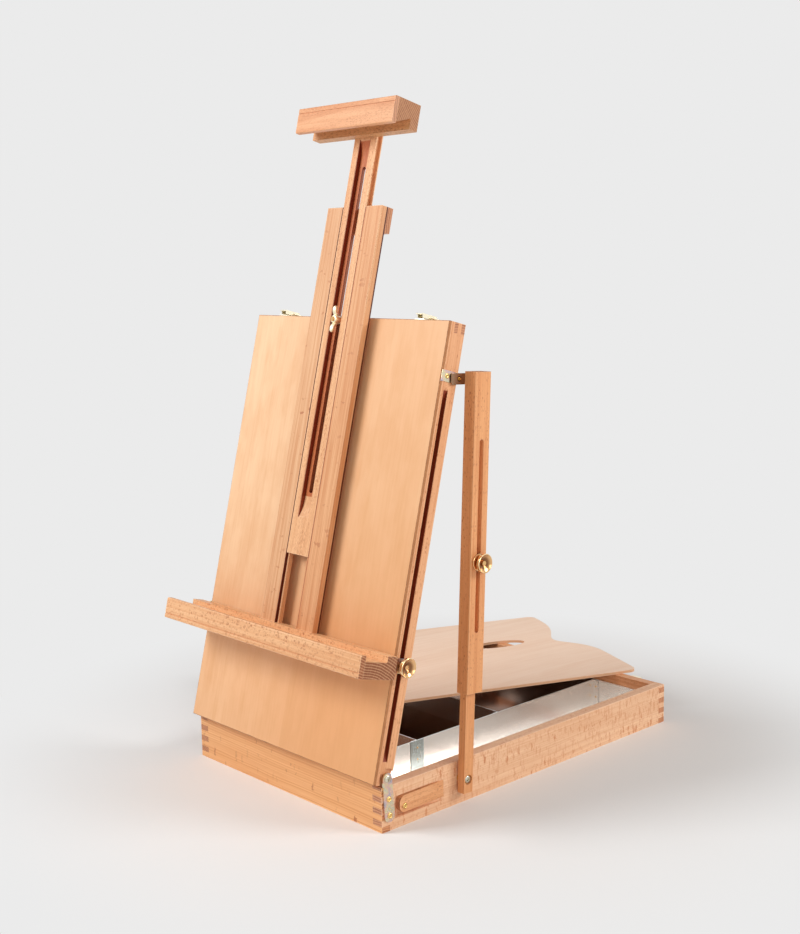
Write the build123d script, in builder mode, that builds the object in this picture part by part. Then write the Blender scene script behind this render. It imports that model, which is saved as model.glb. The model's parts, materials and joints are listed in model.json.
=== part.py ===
"""Table sketch-box easel: a shallow finger-jointed box whose lid tilts up as a painting panel.

Millimetres. X runs across the box, Y from the hinged front end to the far end, Z up from the
table. The origin is the middle of the box's underside. The lid stands open on its strut.
"""

import os
from math import asin, atan2, cos, hypot, radians, sin, sqrt

from build123d import *

os.makedirs("parts", exist_ok=True)

# Fits
PLAY = 0.3  # between wooden pieces that slide or pass each other
PANEL_PLAY = 0.2  # bottom panel in its rebate
PIN_PLAY = 0.05  # radial, round a pin that turns
EDGE_ROUND = 0.8  # eased wooden edges

# Box
BOX_WIDTH = 370.0
BOX_LENGTH = 554.0
BOX_HEIGHT = 56.0
SIDE_WALL = 16.0
END_WALL = 13.0
BOX_FINGER = 7.5  # height of one finger of the corner joints
BOTTOM_PLY = 4.0
REBATE_DEPTH = 5.0  # bottom panel let into the walls, flush underneath

# Lid: the pivot axis runs along X; U is measured up the lid and N out of its face
LID_ANGLE = 75.9
PIVOT_INSET = 8.5  # behind the front of the box
PIVOT_RISE = 10.2  # above the rim
LID_HEEL = 8.0  # lid below its pivot
LID_OVERHANG = 0.3  # lid wider than the box, each side
LID_FRAME = 24.0
LID_BACK = 8.5  # rim of the lid frame behind the pivot
LID_PLY = 4.0
LID_SIDE = 16.0
LID_END = 13.0
LID_FINGER = 6.0
HEEL_ROUND = 5.0  # lets the heel swing past the rim
SIDE_GROOVE_WIDTH = 7.5
SIDE_GROOVE_DEPTH = 7.0
SIDE_GROOVE_N = 7.0
SIDE_GROOVE_LOW = 18.0
SIDE_GROOVE_HIGH = 466.0
SAW_RADIUS = 60.0  # disc cutter that leaves the grooves' sloping ends

# Hinge plates and pivot screws
HINGE_SHEET = 2.0
HINGE_TOP_RADIUS = 7.2
HINGE_FOOT_RADIUS = 8.2
HINGE_RIVET_HIGH = (1.5, 40.6)  # behind the pivot, above the table
HINGE_RIVET_LOW = (2.7, 20.0)
PIVOT_SHANK = 2.2
PIVOT_HEAD = 4.6
PIVOT_HEAD_HEIGHT = 2.2
PIVOT_SCREW_DEPTH = 10.0
PIVOT_POCKET_RADIUS = 12.2
PIVOT_POCKET_DEPTH = 2.8
PIVOT_SPACER_RADIUS = 5.2
RIVET_SHANK = 1.6
RIVET_HEAD = 3.6
RIVET_HEIGHT = 1.6
RIVET_DEPTH = 8.0

# Strut
FOOT_FROM_FRONT = 132.0
FOOT_Z = 34.0
STRUT_THICKNESS = 17.7
LOWER_THICKNESS = 10.8
LOWER_WIDTH = 15.1
LOWER_TAIL = 17.0  # below the foot screw
LOWER_LENGTH = 290.0  # above the foot screw
UPPER_WIDTH = 26.7
UPPER_LENGTH = 394.0
UPPER_HEADROOM = 9.0  # above the middle of the top plate
UPPER_SOLID_TOP = 65.0
CHANNEL_PLAY = 0.2
STRUT_SLOT_WIDTH = 7.0
STRUT_SLOT_LOW = 76.0
STRUT_SLOT_HIGH = 313.0
STRUT_BOLT_AT = 274.5
STRUT_BOLT_RADIUS = 3.0
FOOT_SHANK = 2.6
FOOT_HEAD = 4.7
FOOT_HEAD_HEIGHT = 2.1
FOOT_WASHER_RADIUS = 5.6
FOOT_WASHER = 0.8
FOOT_SINK_RADIUS = 6.2
FOOT_SINK_DEPTH = 3.0
FOOT_SCREW_DEPTH = 12.0

# Link between strut and lid
LINK_WIDTH = 13.5
LINK_SHEET = 1.1
LINK_LAYER = 1.1  # room for the rivet heads between the two plates
LINK_U = 481.0
LINK_N = -9.0
LINK_FRONT = 18.5
LINK_TAIL = 7.0  # plate behind the link pivot
LINK_REACH = 23.0  # pivot in front of the strut's centre line
LINK_TIP = 13.0  # strut plate beyond the pivot
LINK_BACK = 9.0
LINK_RIVET = 3.2
LINK_RIVET_HEIGHT = 0.8
LINK_RIVET_FRONT_N = 9.7
LINK_RIVET_BACK_N = -2.0
LINK_PIN = 2.2

# Knobs
KNOB_COLLAR = 10.8
KNOB_DISC = 12.2
KNOB_NECK = 5.2
KNOB_HEIGHT = 11.8
KNOB_COLLAR_HEIGHT = 2.2
KNOB_RIM = 1.2
KNOB_DISH = 2.2

# Side bar let into the right wall
BAR_START = 28.0  # from the front of the box
BAR_LENGTH = 75.0
BAR_LOW = 17.0
BAR_HEIGHT = 21.0
BAR_PROUD = 1.5
BAR_POCKET_DEPTH = 6.0
BAR_POCKET_START = 20.5
BAR_POCKET_LOW = 13.0
BAR_POCKET_HIGH = 40.0
BAR_POCKET_RADIUS = 300.0
BAR_RIVET_INSET = 8.2

# Ledge
LEDGE_OVERHANG = 12.5  # beyond the side of the box
LEDGE_LOW = 119.5
LEDGE_GAP = 6.5  # lid face to the back of the ledge
LEDGE_LIP = 15.5  # depth of the back lip
LEDGE_BAR = 50.0  # depth of the bar
LEDGE_STRIP = 7.5
LEDGE_TOP = 27.5
LEDGE_FLOOR = 20.0
LEDGE_STRIP_TOP = 27.0
BEAD_DEPTH = 0.8
BEAD_WIDTH = 1.2
LEDGE_BEAD = 6.5
BRACKET_SHEET = 2.0
BRACKET_WIDTH = 18.0
BRACKET_FLANGE = 32.0
BRACKET_REAR = -4.0
THUMB_U = 134.5
THUMB_SHANK = 3.0
THUMB_COLLAR = 6.6
CARRIAGE_DOWN = 106.0  # travel towards the hinge
BRACKET_SCREW = 1.8

# Rails and bridge
RAIL_INNER = 22.0
RAIL_OUTER = 52.4
RAIL_TOP = 685.0
RAIL_GAP = 7.0  # lid face to the back of the rails
RAIL_THICKNESS = 10.5
TONGUE = 4.3
TONGUE_THICKNESS = 6.0
TONGUE_RISE = 2.0  # rail back to the tongue
BRIDGE_LENGTH = 32.0
BRIDGE_STOP = 2.0  # depth that catches the lid's top end

# Mast and head
MAST_PLAY = 0.8  # each side, between the rails
MAST_LOW = 237.5
MAST_TOP = 800.0
MAST_SLOT_LOW = 317.0
MAST_SLOT_HIGH = 738.0
MAST_SLOT_WIDTH = 7.0
MAST_RECESS_HALF = 10.0
MAST_RECESS_DEPTH = 5.2
MAST_RECESS_LOW = 285.0
MAST_RECESS_HIGH = 772.0
TONGUE_FACE_PLAY = 0.25
TONGUE_TIP_PLAY = 1.4
MAST_LAP = 1.0  # cut from the mast's face under the head
HEAD_HALF = 92.5
HEAD_LOW = 773.8
HEAD_TOP = 807.0
HEAD_DEPTH = 36.0
HEAD_STRIP = 6.5
HEAD_STRIP_RISE = 0.7  # strip shorter than the head's back lip
HEAD_LIP = 13.0
HEAD_CEILING = 13.2  # channel's high side, above the back lip
HEAD_CEILING_LOW = 2.2  # and its low side
HEAD_BEAD = 7.0
HEAD_SCREW_U = 787.0

# Clamp bolt
CLAMP_INSET = 6.6  # from the lid's top end
CLAMP_RADIUS = 3.0
CLAMP_HEAD = 5.0
CLAMP_HEAD_HEIGHT = 4.0
CLAMP_SINK = 6.0
PAD_HALF = 22.0
PAD_LENGTH = 19.0
NUT_BOSS = 5.5
NUT_HEIGHT = 9.0
NUT_SPAN = 18.0
NUT_WING = 2.4
NUT_WING_RISE = 9.0
BOLT_PROUD = 2.5

# Latches and keepers
LATCH_INSET = 52.0  # middle of a latch from the side of the box
LATCH_WIDTH = 16.0
LATCH_SHEET = 1.2
LATCH_LOW = -7.0
LATCH_HIGH = 19.0
LEVER_AXIS_N = -2.5
LEVER_AXIS_RISE = 4.3
LEVER_HALF = 5.0
LEVER_SHEET = 1.0
LEVER_TIP = 21.0
LEVER_PIN = 1.0
EAR = 1.0
BAIL_AXIS_N = 6.0
BAIL_WIRE = 0.9
BAIL_HALF = 7.6
BAIL_END = -14.0
KEEPER_HEIGHT = 22.0
KEEPER_DROP = 0.4  # below the rim
KEEPER_HOOK = 2.8

# Liner of folded sheet
LINER_PLAY = 1.5  # between the walls and the liner, all round
LINER_TOP = 42.0
LINER_SHEET = 1.0
LINER_CORNER = 3.0
HEM = 0.9
HEM_DROP = 5.0
RIGHT_BAY = 101.5  # liner's right side to the long divider
FAR_BAY = 210.5
NEAR_BAY = 156.5
DIVIDER_DROP = 1.0  # below the liner's rim
FLANGE = 10.0
STRAP_BEFORE = 12.0  # strap in front of the near divider
STRAP_AFTER = 11.0
SPOT_RIVET = 1.5
SPOT_RIVET_RISE = 0.6  # height over radius

# Palette, lying askew: its own axes run along its right edge and across it
PALETTE_PLY = 4.0
PALETTE_TURN = 22.8
PALETTE_X = -24.3
PALETTE_Y = -45.3
PALETTE_WIDTH = 336.0
PALETTE_NEAR = -140.0
PALETTE_FAR = 373.0
PALETTE_HORN = 361.0
PALETTE_WAIST = 331.0
PALETTE_WAIST_AT = 188.0
PALETTE_STRAIGHT = 103.0
PALETTE_CORNER = 12.0
THUMB_HOLE_ALONG = 236.0
THUMB_HOLE_ACROSS = 203.0
THUMB_HOLE_LENGTH = 92.0
THUMB_HOLE_WIDTH = 34.0

# Carrying handle on the far wall
HANDLE_HALF = 52.0
HANDLE_Z = 40.0
HANDLE_OUT = 7.0
HANDLE_DROP = 24.0
HANDLE_THICK = 7.0
HANDLE_EYE = 4.5  # leather above the pins
HANDLE_PIN = 2.0
HANDLE_BASE = 20.0
HANDLE_BASE_SHEET = 1.5

# Worked out from the sizes above
STRUT_FACE = BOX_WIDTH / 2 + LID_OVERHANG + 2 * LINK_SHEET + LINK_LAYER
STRUT_OUTER = STRUT_FACE + STRUT_THICKNESS
HALF_WIDTH = BOX_WIDTH / 2
HALF_LENGTH = BOX_LENGTH / 2
FOOT_Y = FOOT_FROM_FRONT - HALF_LENGTH
LEDGE_HALF = HALF_WIDTH + LEDGE_OVERHANG
LATCH_X = HALF_WIDTH - LATCH_INSET
LID_HALF = HALF_WIDTH + LID_OVERHANG
LID_TOP = BOX_LENGTH - LID_HEEL
LID_INNER = LID_FRAME - LID_BACK
LID_FACE = LID_INNER + LID_PLY
PIVOT = Vector(0, PIVOT_INSET - HALF_LENGTH, BOX_HEIGHT + PIVOT_RISE)
LID_TILT = radians(LID_ANGLE)
UP_LID = Vector(0, cos(LID_TILT), sin(LID_TILT))
OUT_LID = Vector(0, -sin(LID_TILT), cos(LID_TILT))
ACROSS = Vector(1, 0, 0)


def lid_sheet(n):
    """Plane parallel to the lid's face: local x across, local y up the lid."""
    return Plane(origin=PIVOT + OUT_LID * n, x_dir=ACROSS, z_dir=OUT_LID)


def lid_section(x):
    """Plane across the lid at x: local x up the lid, local y out of its face."""
    return Plane(origin=PIVOT + ACROSS * x, x_dir=UP_LID, z_dir=ACROSS)


# The strut leans so that its top plate meets the lid's plate at the link pivot
LINK = PIVOT + UP_LID * LINK_U + OUT_LID * LINK_N
LINK_RUN = hypot(LINK.Y - FOOT_Y, LINK.Z - FOOT_Z)
STRUT_TILT = atan2(LINK.Z - FOOT_Z, LINK.Y - FOOT_Y) - asin(LINK_REACH / LINK_RUN)
LINK_S = sqrt(LINK_RUN**2 - LINK_REACH**2)
UP_STRUT = Vector(0, cos(STRUT_TILT), sin(STRUT_TILT))
UPPER_TOP = LINK_S + UPPER_HEADROOM
UPPER_BOTTOM = UPPER_TOP - UPPER_LENGTH


def strut_section(x):
    """Plane across the strut at x: local x up the strut, local y towards the lid."""
    return Plane(origin=(x, FOOT_Y, FOOT_Z), x_dir=UP_STRUT, z_dir=ACROSS)


def outward(x, y, z, side=1):
    """Plane on a side of the box or lid, facing outward along X."""
    return Plane(origin=(x * side, y, z), x_dir=(0, side, 0), z_dir=(side, 0, 0))


def on_lid_side(u, n, x, side=1):
    """Point plane on either edge of the lid, facing outward."""
    spot = PIVOT + UP_LID * u + OUT_LID * n
    return outward(x, spot.Y, spot.Z, side)


def save(node, name):
    """Label a finished piece and write its STEP file."""
    node.part.label = name
    export_step(node.part, f"parts/{name}.step")


def finger_rows(depth, pitch):
    """Low and high edge of every finger of an end piece, counted from one face."""
    rows = []
    low = 0.0
    while low < depth:
        rows.append((low, min(low + pitch, depth)))
        low += 2 * pitch
    return rows


def cap_shoulder(radius, height):
    """Point halfway round the arc of a spherical cap standing on its base."""
    ball = (radius**2 + height**2) / (2 * height)
    turn = asin(radius / ball) / 2
    return (height - ball + ball * cos(turn), ball * sin(turn))


def fastener(plane, head_radius, head_height, shank_radius, depth):
    """Domed rivet or screw standing on a plane, its shank going in behind it."""
    profile = Plane(origin=plane.origin, x_dir=plane.z_dir, z_dir=plane.x_dir)
    with BuildSketch(profile) as half:
        with BuildLine():
            Line((head_height, 0), (-depth, 0))
            Line((-depth, 0), (-depth, shank_radius))
            Line((-depth, shank_radius), (0, shank_radius))
            Line((0, shank_radius), (0, head_radius))
            shoulder = cap_shoulder(head_radius, head_height)
            ThreePointArc((0, head_radius), shoulder, (head_height, 0))
        make_face()
    revolve(half.sketch, axis=Axis(plane.origin, plane.z_dir))


def spot_head(plane, radius):
    """Low domed head of a spot rivet standing on a plane."""
    profile = Plane(origin=plane.origin, x_dir=plane.z_dir, z_dir=plane.x_dir)
    height = radius * SPOT_RIVET_RISE
    with BuildSketch(profile) as half:
        with BuildLine():
            Line((height, 0), (0, 0))
            Line((0, 0), (0, radius))
            ThreePointArc((0, radius), cap_shoulder(radius, height), (height, 0))
        make_face()
    revolve(half.sketch, axis=Axis(plane.origin, plane.z_dir))


# ---------------------------------------------------------------- box walls
INNER_X = HALF_WIDTH - SIDE_WALL
INNER_Y = HALF_LENGTH - END_WALL
BOX_ROWS = finger_rows(BOX_HEIGHT, BOX_FINGER)
RIM = BOX_HEIGHT
UPPER_RIVET = (PIVOT.Y + HINGE_RIVET_HIGH[0], HINGE_RIVET_HIGH[1])
LOWER_RIVET = (PIVOT.Y + HINGE_RIVET_LOW[0], HINGE_RIVET_LOW[1])
BAR_LEFT = BAR_START - HALF_LENGTH
BAR_MIDDLE = BAR_LOW + BAR_HEIGHT / 2
BAR_RIVET = (BAR_LEFT + BAR_RIVET_INSET, BAR_MIDDLE - 2.6)


def panel_rebate():
    """Rebate for the bottom panel, cut from the inside of the box."""
    with Locations((0, 0, BOTTOM_PLY / 2)):
        Box(
            BOX_WIDTH - 2 * SIDE_WALL + 2 * REBATE_DEPTH,
            BOX_LENGTH - 2 * END_WALL + 2 * REBATE_DEPTH,
            BOTTOM_PLY,
            mode=Mode.SUBTRACT,
        )


def hinge_rivet_holes():
    """Holes for the two rivets of each hinge plate."""
    for side in (-1, 1):
        for y, z in (UPPER_RIVET, LOWER_RIVET):
            with BuildSketch(outward(HALF_WIDTH - RIVET_DEPTH, y, z, side)) as hole:
                Circle(RIVET_SHANK)
            extrude(hole.sketch, amount=RIVET_DEPTH, mode=Mode.SUBTRACT)


def side_wall(side):
    """Side wall with its finger notches at both ends."""
    with Locations((side * (HALF_WIDTH - SIDE_WALL / 2), 0, RIM / 2)):
        wall = Box(SIDE_WALL, BOX_LENGTH, BOX_HEIGHT)
    fillet(wall.edges().filter_by(Axis.Y).group_by(Axis.Z)[-1], EDGE_ROUND)
    for low, high in BOX_ROWS:
        for end in (-1, 1):
            spot = (side * (HALF_WIDTH - SIDE_WALL / 2), end * (HALF_LENGTH - END_WALL / 2))
            with Locations((*spot, (low + high) / 2)):
                Box(SIDE_WALL, END_WALL, high - low, mode=Mode.SUBTRACT)
    panel_rebate()
    hinge_rivet_holes()


with BuildPart() as wall_left:
    side_wall(-1)
save(wall_left, "wall_left")

with BuildPart() as wall_right:
    side_wall(1)
    # Pocket of the side bar: flat where the bar is screwed, then a long rising run-out
    pocket_floor = HALF_WIDTH - BAR_POCKET_DEPTH
    pocket_start = BAR_POCKET_START - HALF_LENGTH
    runout = sqrt(BAR_POCKET_RADIUS**2 - (BAR_POCKET_RADIUS - BAR_POCKET_DEPTH) ** 2)
    pocket_end = BAR_LEFT + BAR_LENGTH
    with BuildSketch(Plane.XY.offset(BAR_POCKET_LOW)):
        with BuildLine():
            Line((HALF_WIDTH, pocket_start), (pocket_floor, pocket_start))
            Line((pocket_floor, pocket_start), (pocket_floor, pocket_end - runout))
            RadiusArc((pocket_floor, pocket_end - runout), (HALF_WIDTH, pocket_end), BAR_POCKET_RADIUS)
            Line((HALF_WIDTH, pocket_end), (HALF_WIDTH, pocket_start))
        make_face()
    extrude(amount=BAR_POCKET_HIGH - BAR_POCKET_LOW, mode=Mode.SUBTRACT)
    with BuildSketch(outward(pocket_floor - RIVET_DEPTH, *BAR_RIVET)):
        Circle(RIVET_SHANK)
    extrude(amount=RIVET_DEPTH, mode=Mode.SUBTRACT)
    with BuildSketch(outward(HALF_WIDTH - FOOT_SCREW_DEPTH, FOOT_Y, FOOT_Z)):
        Circle(FOOT_SHANK)
    extrude(amount=FOOT_SCREW_DEPTH, mode=Mode.SUBTRACT)
save(wall_right, "wall_right")


def end_wall(end):
    """End wall with the fingers that show on the box's sides."""
    with Locations((0, end * (HALF_LENGTH - END_WALL / 2), RIM / 2)):
        wall = Box(2 * INNER_X, END_WALL, BOX_HEIGHT)
    fillet(wall.edges().filter_by(Axis.X).group_by(Axis.Z)[-1], EDGE_ROUND)
    for low, high in BOX_ROWS:
        with Locations((0, end * (HALF_LENGTH - END_WALL / 2), (low + high) / 2)):
            Box(BOX_WIDTH, END_WALL, high - low)
    panel_rebate()
    hinge_rivet_holes()


with BuildPart() as wall_front:
    end_wall(-1)
save(wall_front, "wall_front")

KEEPER_SCREW_Z = RIM - KEEPER_DROP - KEEPER_HEIGHT * 0.7
EAR_INNER = HANDLE_HALF + HANDLE_THICK
HANDLE_SCREW_X = EAR_INNER + HANDLE_BASE * 0.4
HANDLE_SCREW_Z = HANDLE_Z - HANDLE_BASE * 0.55
with BuildPart() as wall_far:
    end_wall(1)
    # Screw holes of the latch keepers and of the handle brackets
    screw_spots = [(-LATCH_X, KEEPER_SCREW_Z), (LATCH_X, KEEPER_SCREW_Z)]
    screw_spots += [(side * HANDLE_SCREW_X, HANDLE_SCREW_Z) for side in (-1, 1)]
    for x, z in screw_spots:
        with BuildSketch(Plane(origin=(x, HALF_LENGTH, z), x_dir=(1, 0, 0), z_dir=(0, -1, 0))):
            Circle(RIVET_SHANK)
        extrude(amount=RIVET_DEPTH, mode=Mode.SUBTRACT)
save(wall_far, "wall_far")

with BuildPart() as bottom_panel:
    with Locations((0, 0, BOTTOM_PLY / 2)):
        Box(
            2 * (INNER_X + REBATE_DEPTH - PANEL_PLAY),
            2 * (INNER_Y + REBATE_DEPTH - PANEL_PLAY),
            BOTTOM_PLY,
        )
save(bottom_panel, "bottom_panel")

# ---------------------------------------------------------------- hinge plates


def hinge_plate(side):
    """Waisted plate from the lid pivot down to the lower rivet."""
    with BuildSketch(outward(HALF_WIDTH, PIVOT.Y, 0, side)) as outline:
        with Locations((0, PIVOT.Z)):
            Circle(HINGE_TOP_RADIUS)
        with Locations((side * HINGE_RIVET_LOW[0], HINGE_RIVET_LOW[1])):
            Circle(HINGE_FOOT_RADIUS)
        make_hull()
        with Locations((0, PIVOT.Z)):
            Circle(PIVOT_SHANK + PIN_PLAY, mode=Mode.SUBTRACT)
        for offset_y, z in (HINGE_RIVET_HIGH, HINGE_RIVET_LOW):
            with Locations((side * offset_y, z)):
                Circle(RIVET_SHANK, mode=Mode.SUBTRACT)
    extrude(outline.sketch, amount=HINGE_SHEET)


with BuildPart() as hinge_plate_left:
    hinge_plate(-1)
save(hinge_plate_left, "hinge_plate_left")

with BuildPart() as hinge_plate_right:
    hinge_plate(1)
save(hinge_plate_right, "hinge_plate_right")

# ---------------------------------------------------------------- side bar
BAR_OUTER = HALF_WIDTH + BAR_PROUD
with BuildPart() as side_bar:
    bar_floor = pocket_floor + PANEL_PLAY
    bar_end = BAR_LEFT + BAR_LENGTH
    with BuildSketch(Plane.XY.offset(BAR_LOW)):
        with BuildLine():
            Line((bar_floor, BAR_LEFT), (BAR_OUTER, BAR_LEFT))
            Line((BAR_OUTER, BAR_LEFT), (HALF_WIDTH, bar_end - PLAY))
            RadiusArc((HALF_WIDTH, bar_end - PLAY), (bar_floor, bar_end - runout), -BAR_POCKET_RADIUS)
            Line((bar_floor, bar_end - runout), (bar_floor, BAR_LEFT))
        make_face()
    extrude(amount=BAR_HEIGHT)
    # Rounded free end
    end_edges = side_bar.edges().filter_by(Axis.X).group_by(Axis.Y)[0]
    fillet(end_edges, BAR_HEIGHT * 0.4)
    with BuildSketch(outward(pocket_floor, *BAR_RIVET)):
        Circle(RIVET_SHANK)
    extrude(amount=2 * BAR_POCKET_DEPTH, mode=Mode.SUBTRACT)
save(side_bar, "side_bar")

bar_slope = BAR_PROUD / (BAR_LENGTH - PLAY)
bar_face = BAR_OUTER - bar_slope * BAR_RIVET_INSET
with BuildPart() as wall_rivets:
    # Four in the hinge plates and one in the side bar
    for hinge_side in (-1, 1):
        for rivet_y, rivet_z in (UPPER_RIVET, LOWER_RIVET):
            seat = outward(HALF_WIDTH + HINGE_SHEET, rivet_y, rivet_z, hinge_side)
            fastener(seat, RIVET_HEAD, RIVET_HEIGHT, RIVET_SHANK, HINGE_SHEET + RIVET_DEPTH)
    fastener(
        outward(bar_face + PANEL_PLAY / 2, *BAR_RIVET),
        RIVET_HEAD,
        RIVET_HEIGHT,
        RIVET_SHANK,
        bar_face - pocket_floor + RIVET_DEPTH,
    )
save(wall_rivets, "wall_rivets")

# ---------------------------------------------------------------- strut foot
FOOT_FLOOR = STRUT_FACE + LOWER_THICKNESS - FOOT_SINK_DEPTH
with BuildPart() as strut_foot_screw:
    fastener(
        outward(FOOT_FLOOR + FOOT_WASHER, FOOT_Y, FOOT_Z),
        FOOT_HEAD,
        FOOT_HEAD_HEIGHT,
        FOOT_SHANK,
        FOOT_FLOOR + FOOT_WASHER - HALF_WIDTH + FOOT_SCREW_DEPTH,
    )
save(strut_foot_screw, "strut_foot_screw")

with BuildPart() as strut_foot_washers:
    # A spacer on the wall and a washer under the screw's head
    for low, high in (
        (HALF_WIDTH, STRUT_FACE - PLAY),
        (FOOT_FLOOR + PIN_PLAY, FOOT_FLOOR + FOOT_WASHER),
    ):
        with BuildSketch(outward(low, FOOT_Y, FOOT_Z)):
            Circle(FOOT_WASHER_RADIUS)
            Circle(FOOT_SHANK, mode=Mode.SUBTRACT)
        extrude(amount=high - low)
save(strut_foot_washers, "strut_foot_washers")

# ---------------------------------------------------------------- liner
LINER_WIDTH = 2 * (INNER_X - LINER_PLAY)
LINER_LENGTH = 2 * (INNER_Y - LINER_PLAY)
LINER_FLOOR = BOTTOM_PLY
with BuildPart() as liner:
    with BuildSketch(Plane.XY.offset(LINER_FLOOR)):
        RectangleRounded(LINER_WIDTH, LINER_LENGTH, LINER_CORNER)
    extrude(amount=LINER_TOP - LINER_FLOOR)
    offset(amount=-LINER_SHEET, openings=liner.faces().sort_by(Axis.Z)[-1])
    # Folded hem round the rim
    with BuildSketch(Plane.XY.offset(LINER_TOP - HEM_DROP)):
        hem_width = LINER_WIDTH + 2 * HEM
        hem_length = LINER_LENGTH + 2 * HEM
        RectangleRounded(hem_width, hem_length, LINER_CORNER + HEM)
        RectangleRounded(LINER_WIDTH, LINER_LENGTH, LINER_CORNER, mode=Mode.SUBTRACT)
    extrude(amount=HEM_DROP)
save(liner, "liner")

DIVIDER_BASE = LINER_FLOOR + LINER_SHEET
DIVIDER_TOP = LINER_TOP - DIVIDER_DROP
LINER_INNER_X = LINER_WIDTH / 2 - LINER_SHEET
LINER_INNER_Y = LINER_LENGTH / 2 - LINER_SHEET
DIVIDER_X = LINER_WIDTH / 2 - RIGHT_BAY
CROSS_FAR_Y = LINER_LENGTH / 2 - FAR_BAY
CROSS_NEAR_Y = NEAR_BAY - LINER_LENGTH / 2
STRAP_LOW = CROSS_NEAR_Y - STRAP_BEFORE
STRAP_HIGH = CROSS_NEAR_Y + STRAP_AFTER


def upright_sheet(outline):
    """Sheet-metal divider standing on the liner's floor, from its outline seen from above."""
    with BuildSketch(Plane.XY.offset(DIVIDER_BASE)) as folded:
        with BuildLine():
            Polyline(*outline)
            offset(amount=LINER_SHEET / 2, side=Side.BOTH)
        make_face()
    extrude(folded.sketch, amount=DIVIDER_TOP - DIVIDER_BASE)


HALF_SHEET = LINER_SHEET / 2
with BuildPart() as divider_long:
    end_y = LINER_INNER_Y - PANEL_PLAY - HALF_SHEET
    upright_sheet(
        [
            (DIVIDER_X + FLANGE, -end_y),
            (DIVIDER_X, -end_y),
            (DIVIDER_X, end_y),
            (DIVIDER_X + FLANGE, end_y),
        ]
    )
save(divider_long, "divider_long")


def cross_divider(y):
    """Short divider from the liner's left wall to the long divider, with a flange at each end."""
    left = -LINER_INNER_X + PANEL_PLAY + HALF_SHEET
    right = DIVIDER_X - LINER_SHEET - PANEL_PLAY
    upright_sheet([(left, y - FLANGE), (left, y), (right, y), (right, y - FLANGE)])


with BuildPart() as divider_far:
    cross_divider(CROSS_FAR_Y)
save(divider_far, "divider_far")

with BuildPart() as divider_near:
    cross_divider(CROSS_NEAR_Y)
save(divider_near, "divider_near")

STRAP_FACE = DIVIDER_X + HALF_SHEET + LINER_SHEET
with BuildPart() as divider_strap:
    with Locations(
        (
            STRAP_FACE - HALF_SHEET,
            (STRAP_LOW + STRAP_HIGH) / 2,
            (DIVIDER_BASE + DIVIDER_TOP) / 2,
        )
    ):
        Box(LINER_SHEET, STRAP_HIGH - STRAP_LOW, DIVIDER_TOP - DIVIDER_BASE)
save(divider_strap, "divider_strap")

with BuildPart() as divider_rivets:
    # Pairs of heads on the strap and on the long divider's end flanges
    spot_z = (DIVIDER_BASE + DIVIDER_TOP) / 2
    for rise in (-FLANGE * 0.8, FLANGE * 0.8):
        strap_spot = (STRAP_LOW + STRAP_HIGH) / 2
        spot_head(outward(STRAP_FACE, strap_spot, spot_z + rise), SPOT_RIVET)
        for end in (-1, 1):
            spot = (DIVIDER_X + FLANGE * 0.6, end * (end_y - HALF_SHEET), spot_z + rise)
            spot_head(Plane(origin=spot, x_dir=(1, 0, 0), z_dir=(0, -end, 0)), SPOT_RIVET)
save(divider_rivets, "divider_rivets")

# ---------------------------------------------------------------- lid frame
LID_ROWS = finger_rows(LID_FRAME, LID_FINGER)
LID_LENGTH = LID_TOP + LID_HEEL
LID_MIDDLE = (LID_TOP - LID_HEEL) / 2
LID_INNER_X = LID_HALF - LID_SIDE
CLAMP_U = LID_TOP - CLAMP_INSET
POCKET_FLOOR = LID_HALF - PIVOT_POCKET_DEPTH


def saw_runout(depth):
    """Length over which a groove of this depth slopes out at its end."""
    return sqrt(SAW_RADIUS**2 - (SAW_RADIUS - depth) ** 2)


def round_cut(plane, radius, depth):
    """Round hole going in along a plane's normal."""
    with BuildSketch(plane) as hole:
        Circle(radius)
    extrude(hole.sketch, amount=depth, mode=Mode.SUBTRACT)


def pivot_pockets():
    """Shallow pockets for the hinge plates' tops, and the pivot screws' holes."""
    for side in (-1, 1):
        round_cut(on_lid_side(0, 0, POCKET_FLOOR, side), PIVOT_POCKET_RADIUS, PIVOT_POCKET_DEPTH)
        hole_end = POCKET_FLOOR - PIVOT_SCREW_DEPTH
        round_cut(on_lid_side(0, 0, hole_end, side), PIVOT_SHANK, PIVOT_SCREW_DEPTH)


def link_rivet_holes():
    """Holes in the lid's right side for the link plate's rivets."""
    for n in (LINK_RIVET_FRONT_N, LINK_RIVET_BACK_N):
        round_cut(on_lid_side(LINK_U, n, LID_HALF - RIVET_DEPTH), RIVET_SHANK, RIVET_DEPTH)


def lid_side(side):
    """Side rail of the lid: finger notches, saw-cut groove and pivot pocket."""
    middle = (side * (LID_HALF - LID_SIDE / 2), LID_MIDDLE)
    with Locations((*middle, LID_FRAME / 2)):
        Box(LID_SIDE, LID_LENGTH, LID_FRAME)
    for low, high in LID_ROWS:
        for u in (LID_TOP - LID_END / 2, LID_END / 2 - LID_HEEL):
            with Locations((middle[0], u, (low + high) / 2)):
                Box(LID_SIDE, LID_END, high - low, mode=Mode.SUBTRACT)
    flat = SIDE_GROOVE_HIGH - SIDE_GROOVE_LOW - 2 * saw_runout(SIDE_GROOVE_DEPTH)
    saw_x = side * (LID_HALF - SIDE_GROOVE_DEPTH + SAW_RADIUS)
    with BuildSketch(lid_sheet(SIDE_GROOVE_N - SIDE_GROOVE_WIDTH / 2)) as cut:
        with Locations((saw_x, (SIDE_GROOVE_LOW + SIDE_GROOVE_HIGH) / 2)):
            SlotCenterToCenter(flat, 2 * SAW_RADIUS, rotation=90)
    extrude(cut.sketch, amount=SIDE_GROOVE_WIDTH, mode=Mode.SUBTRACT)
    pivot_pockets()


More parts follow.
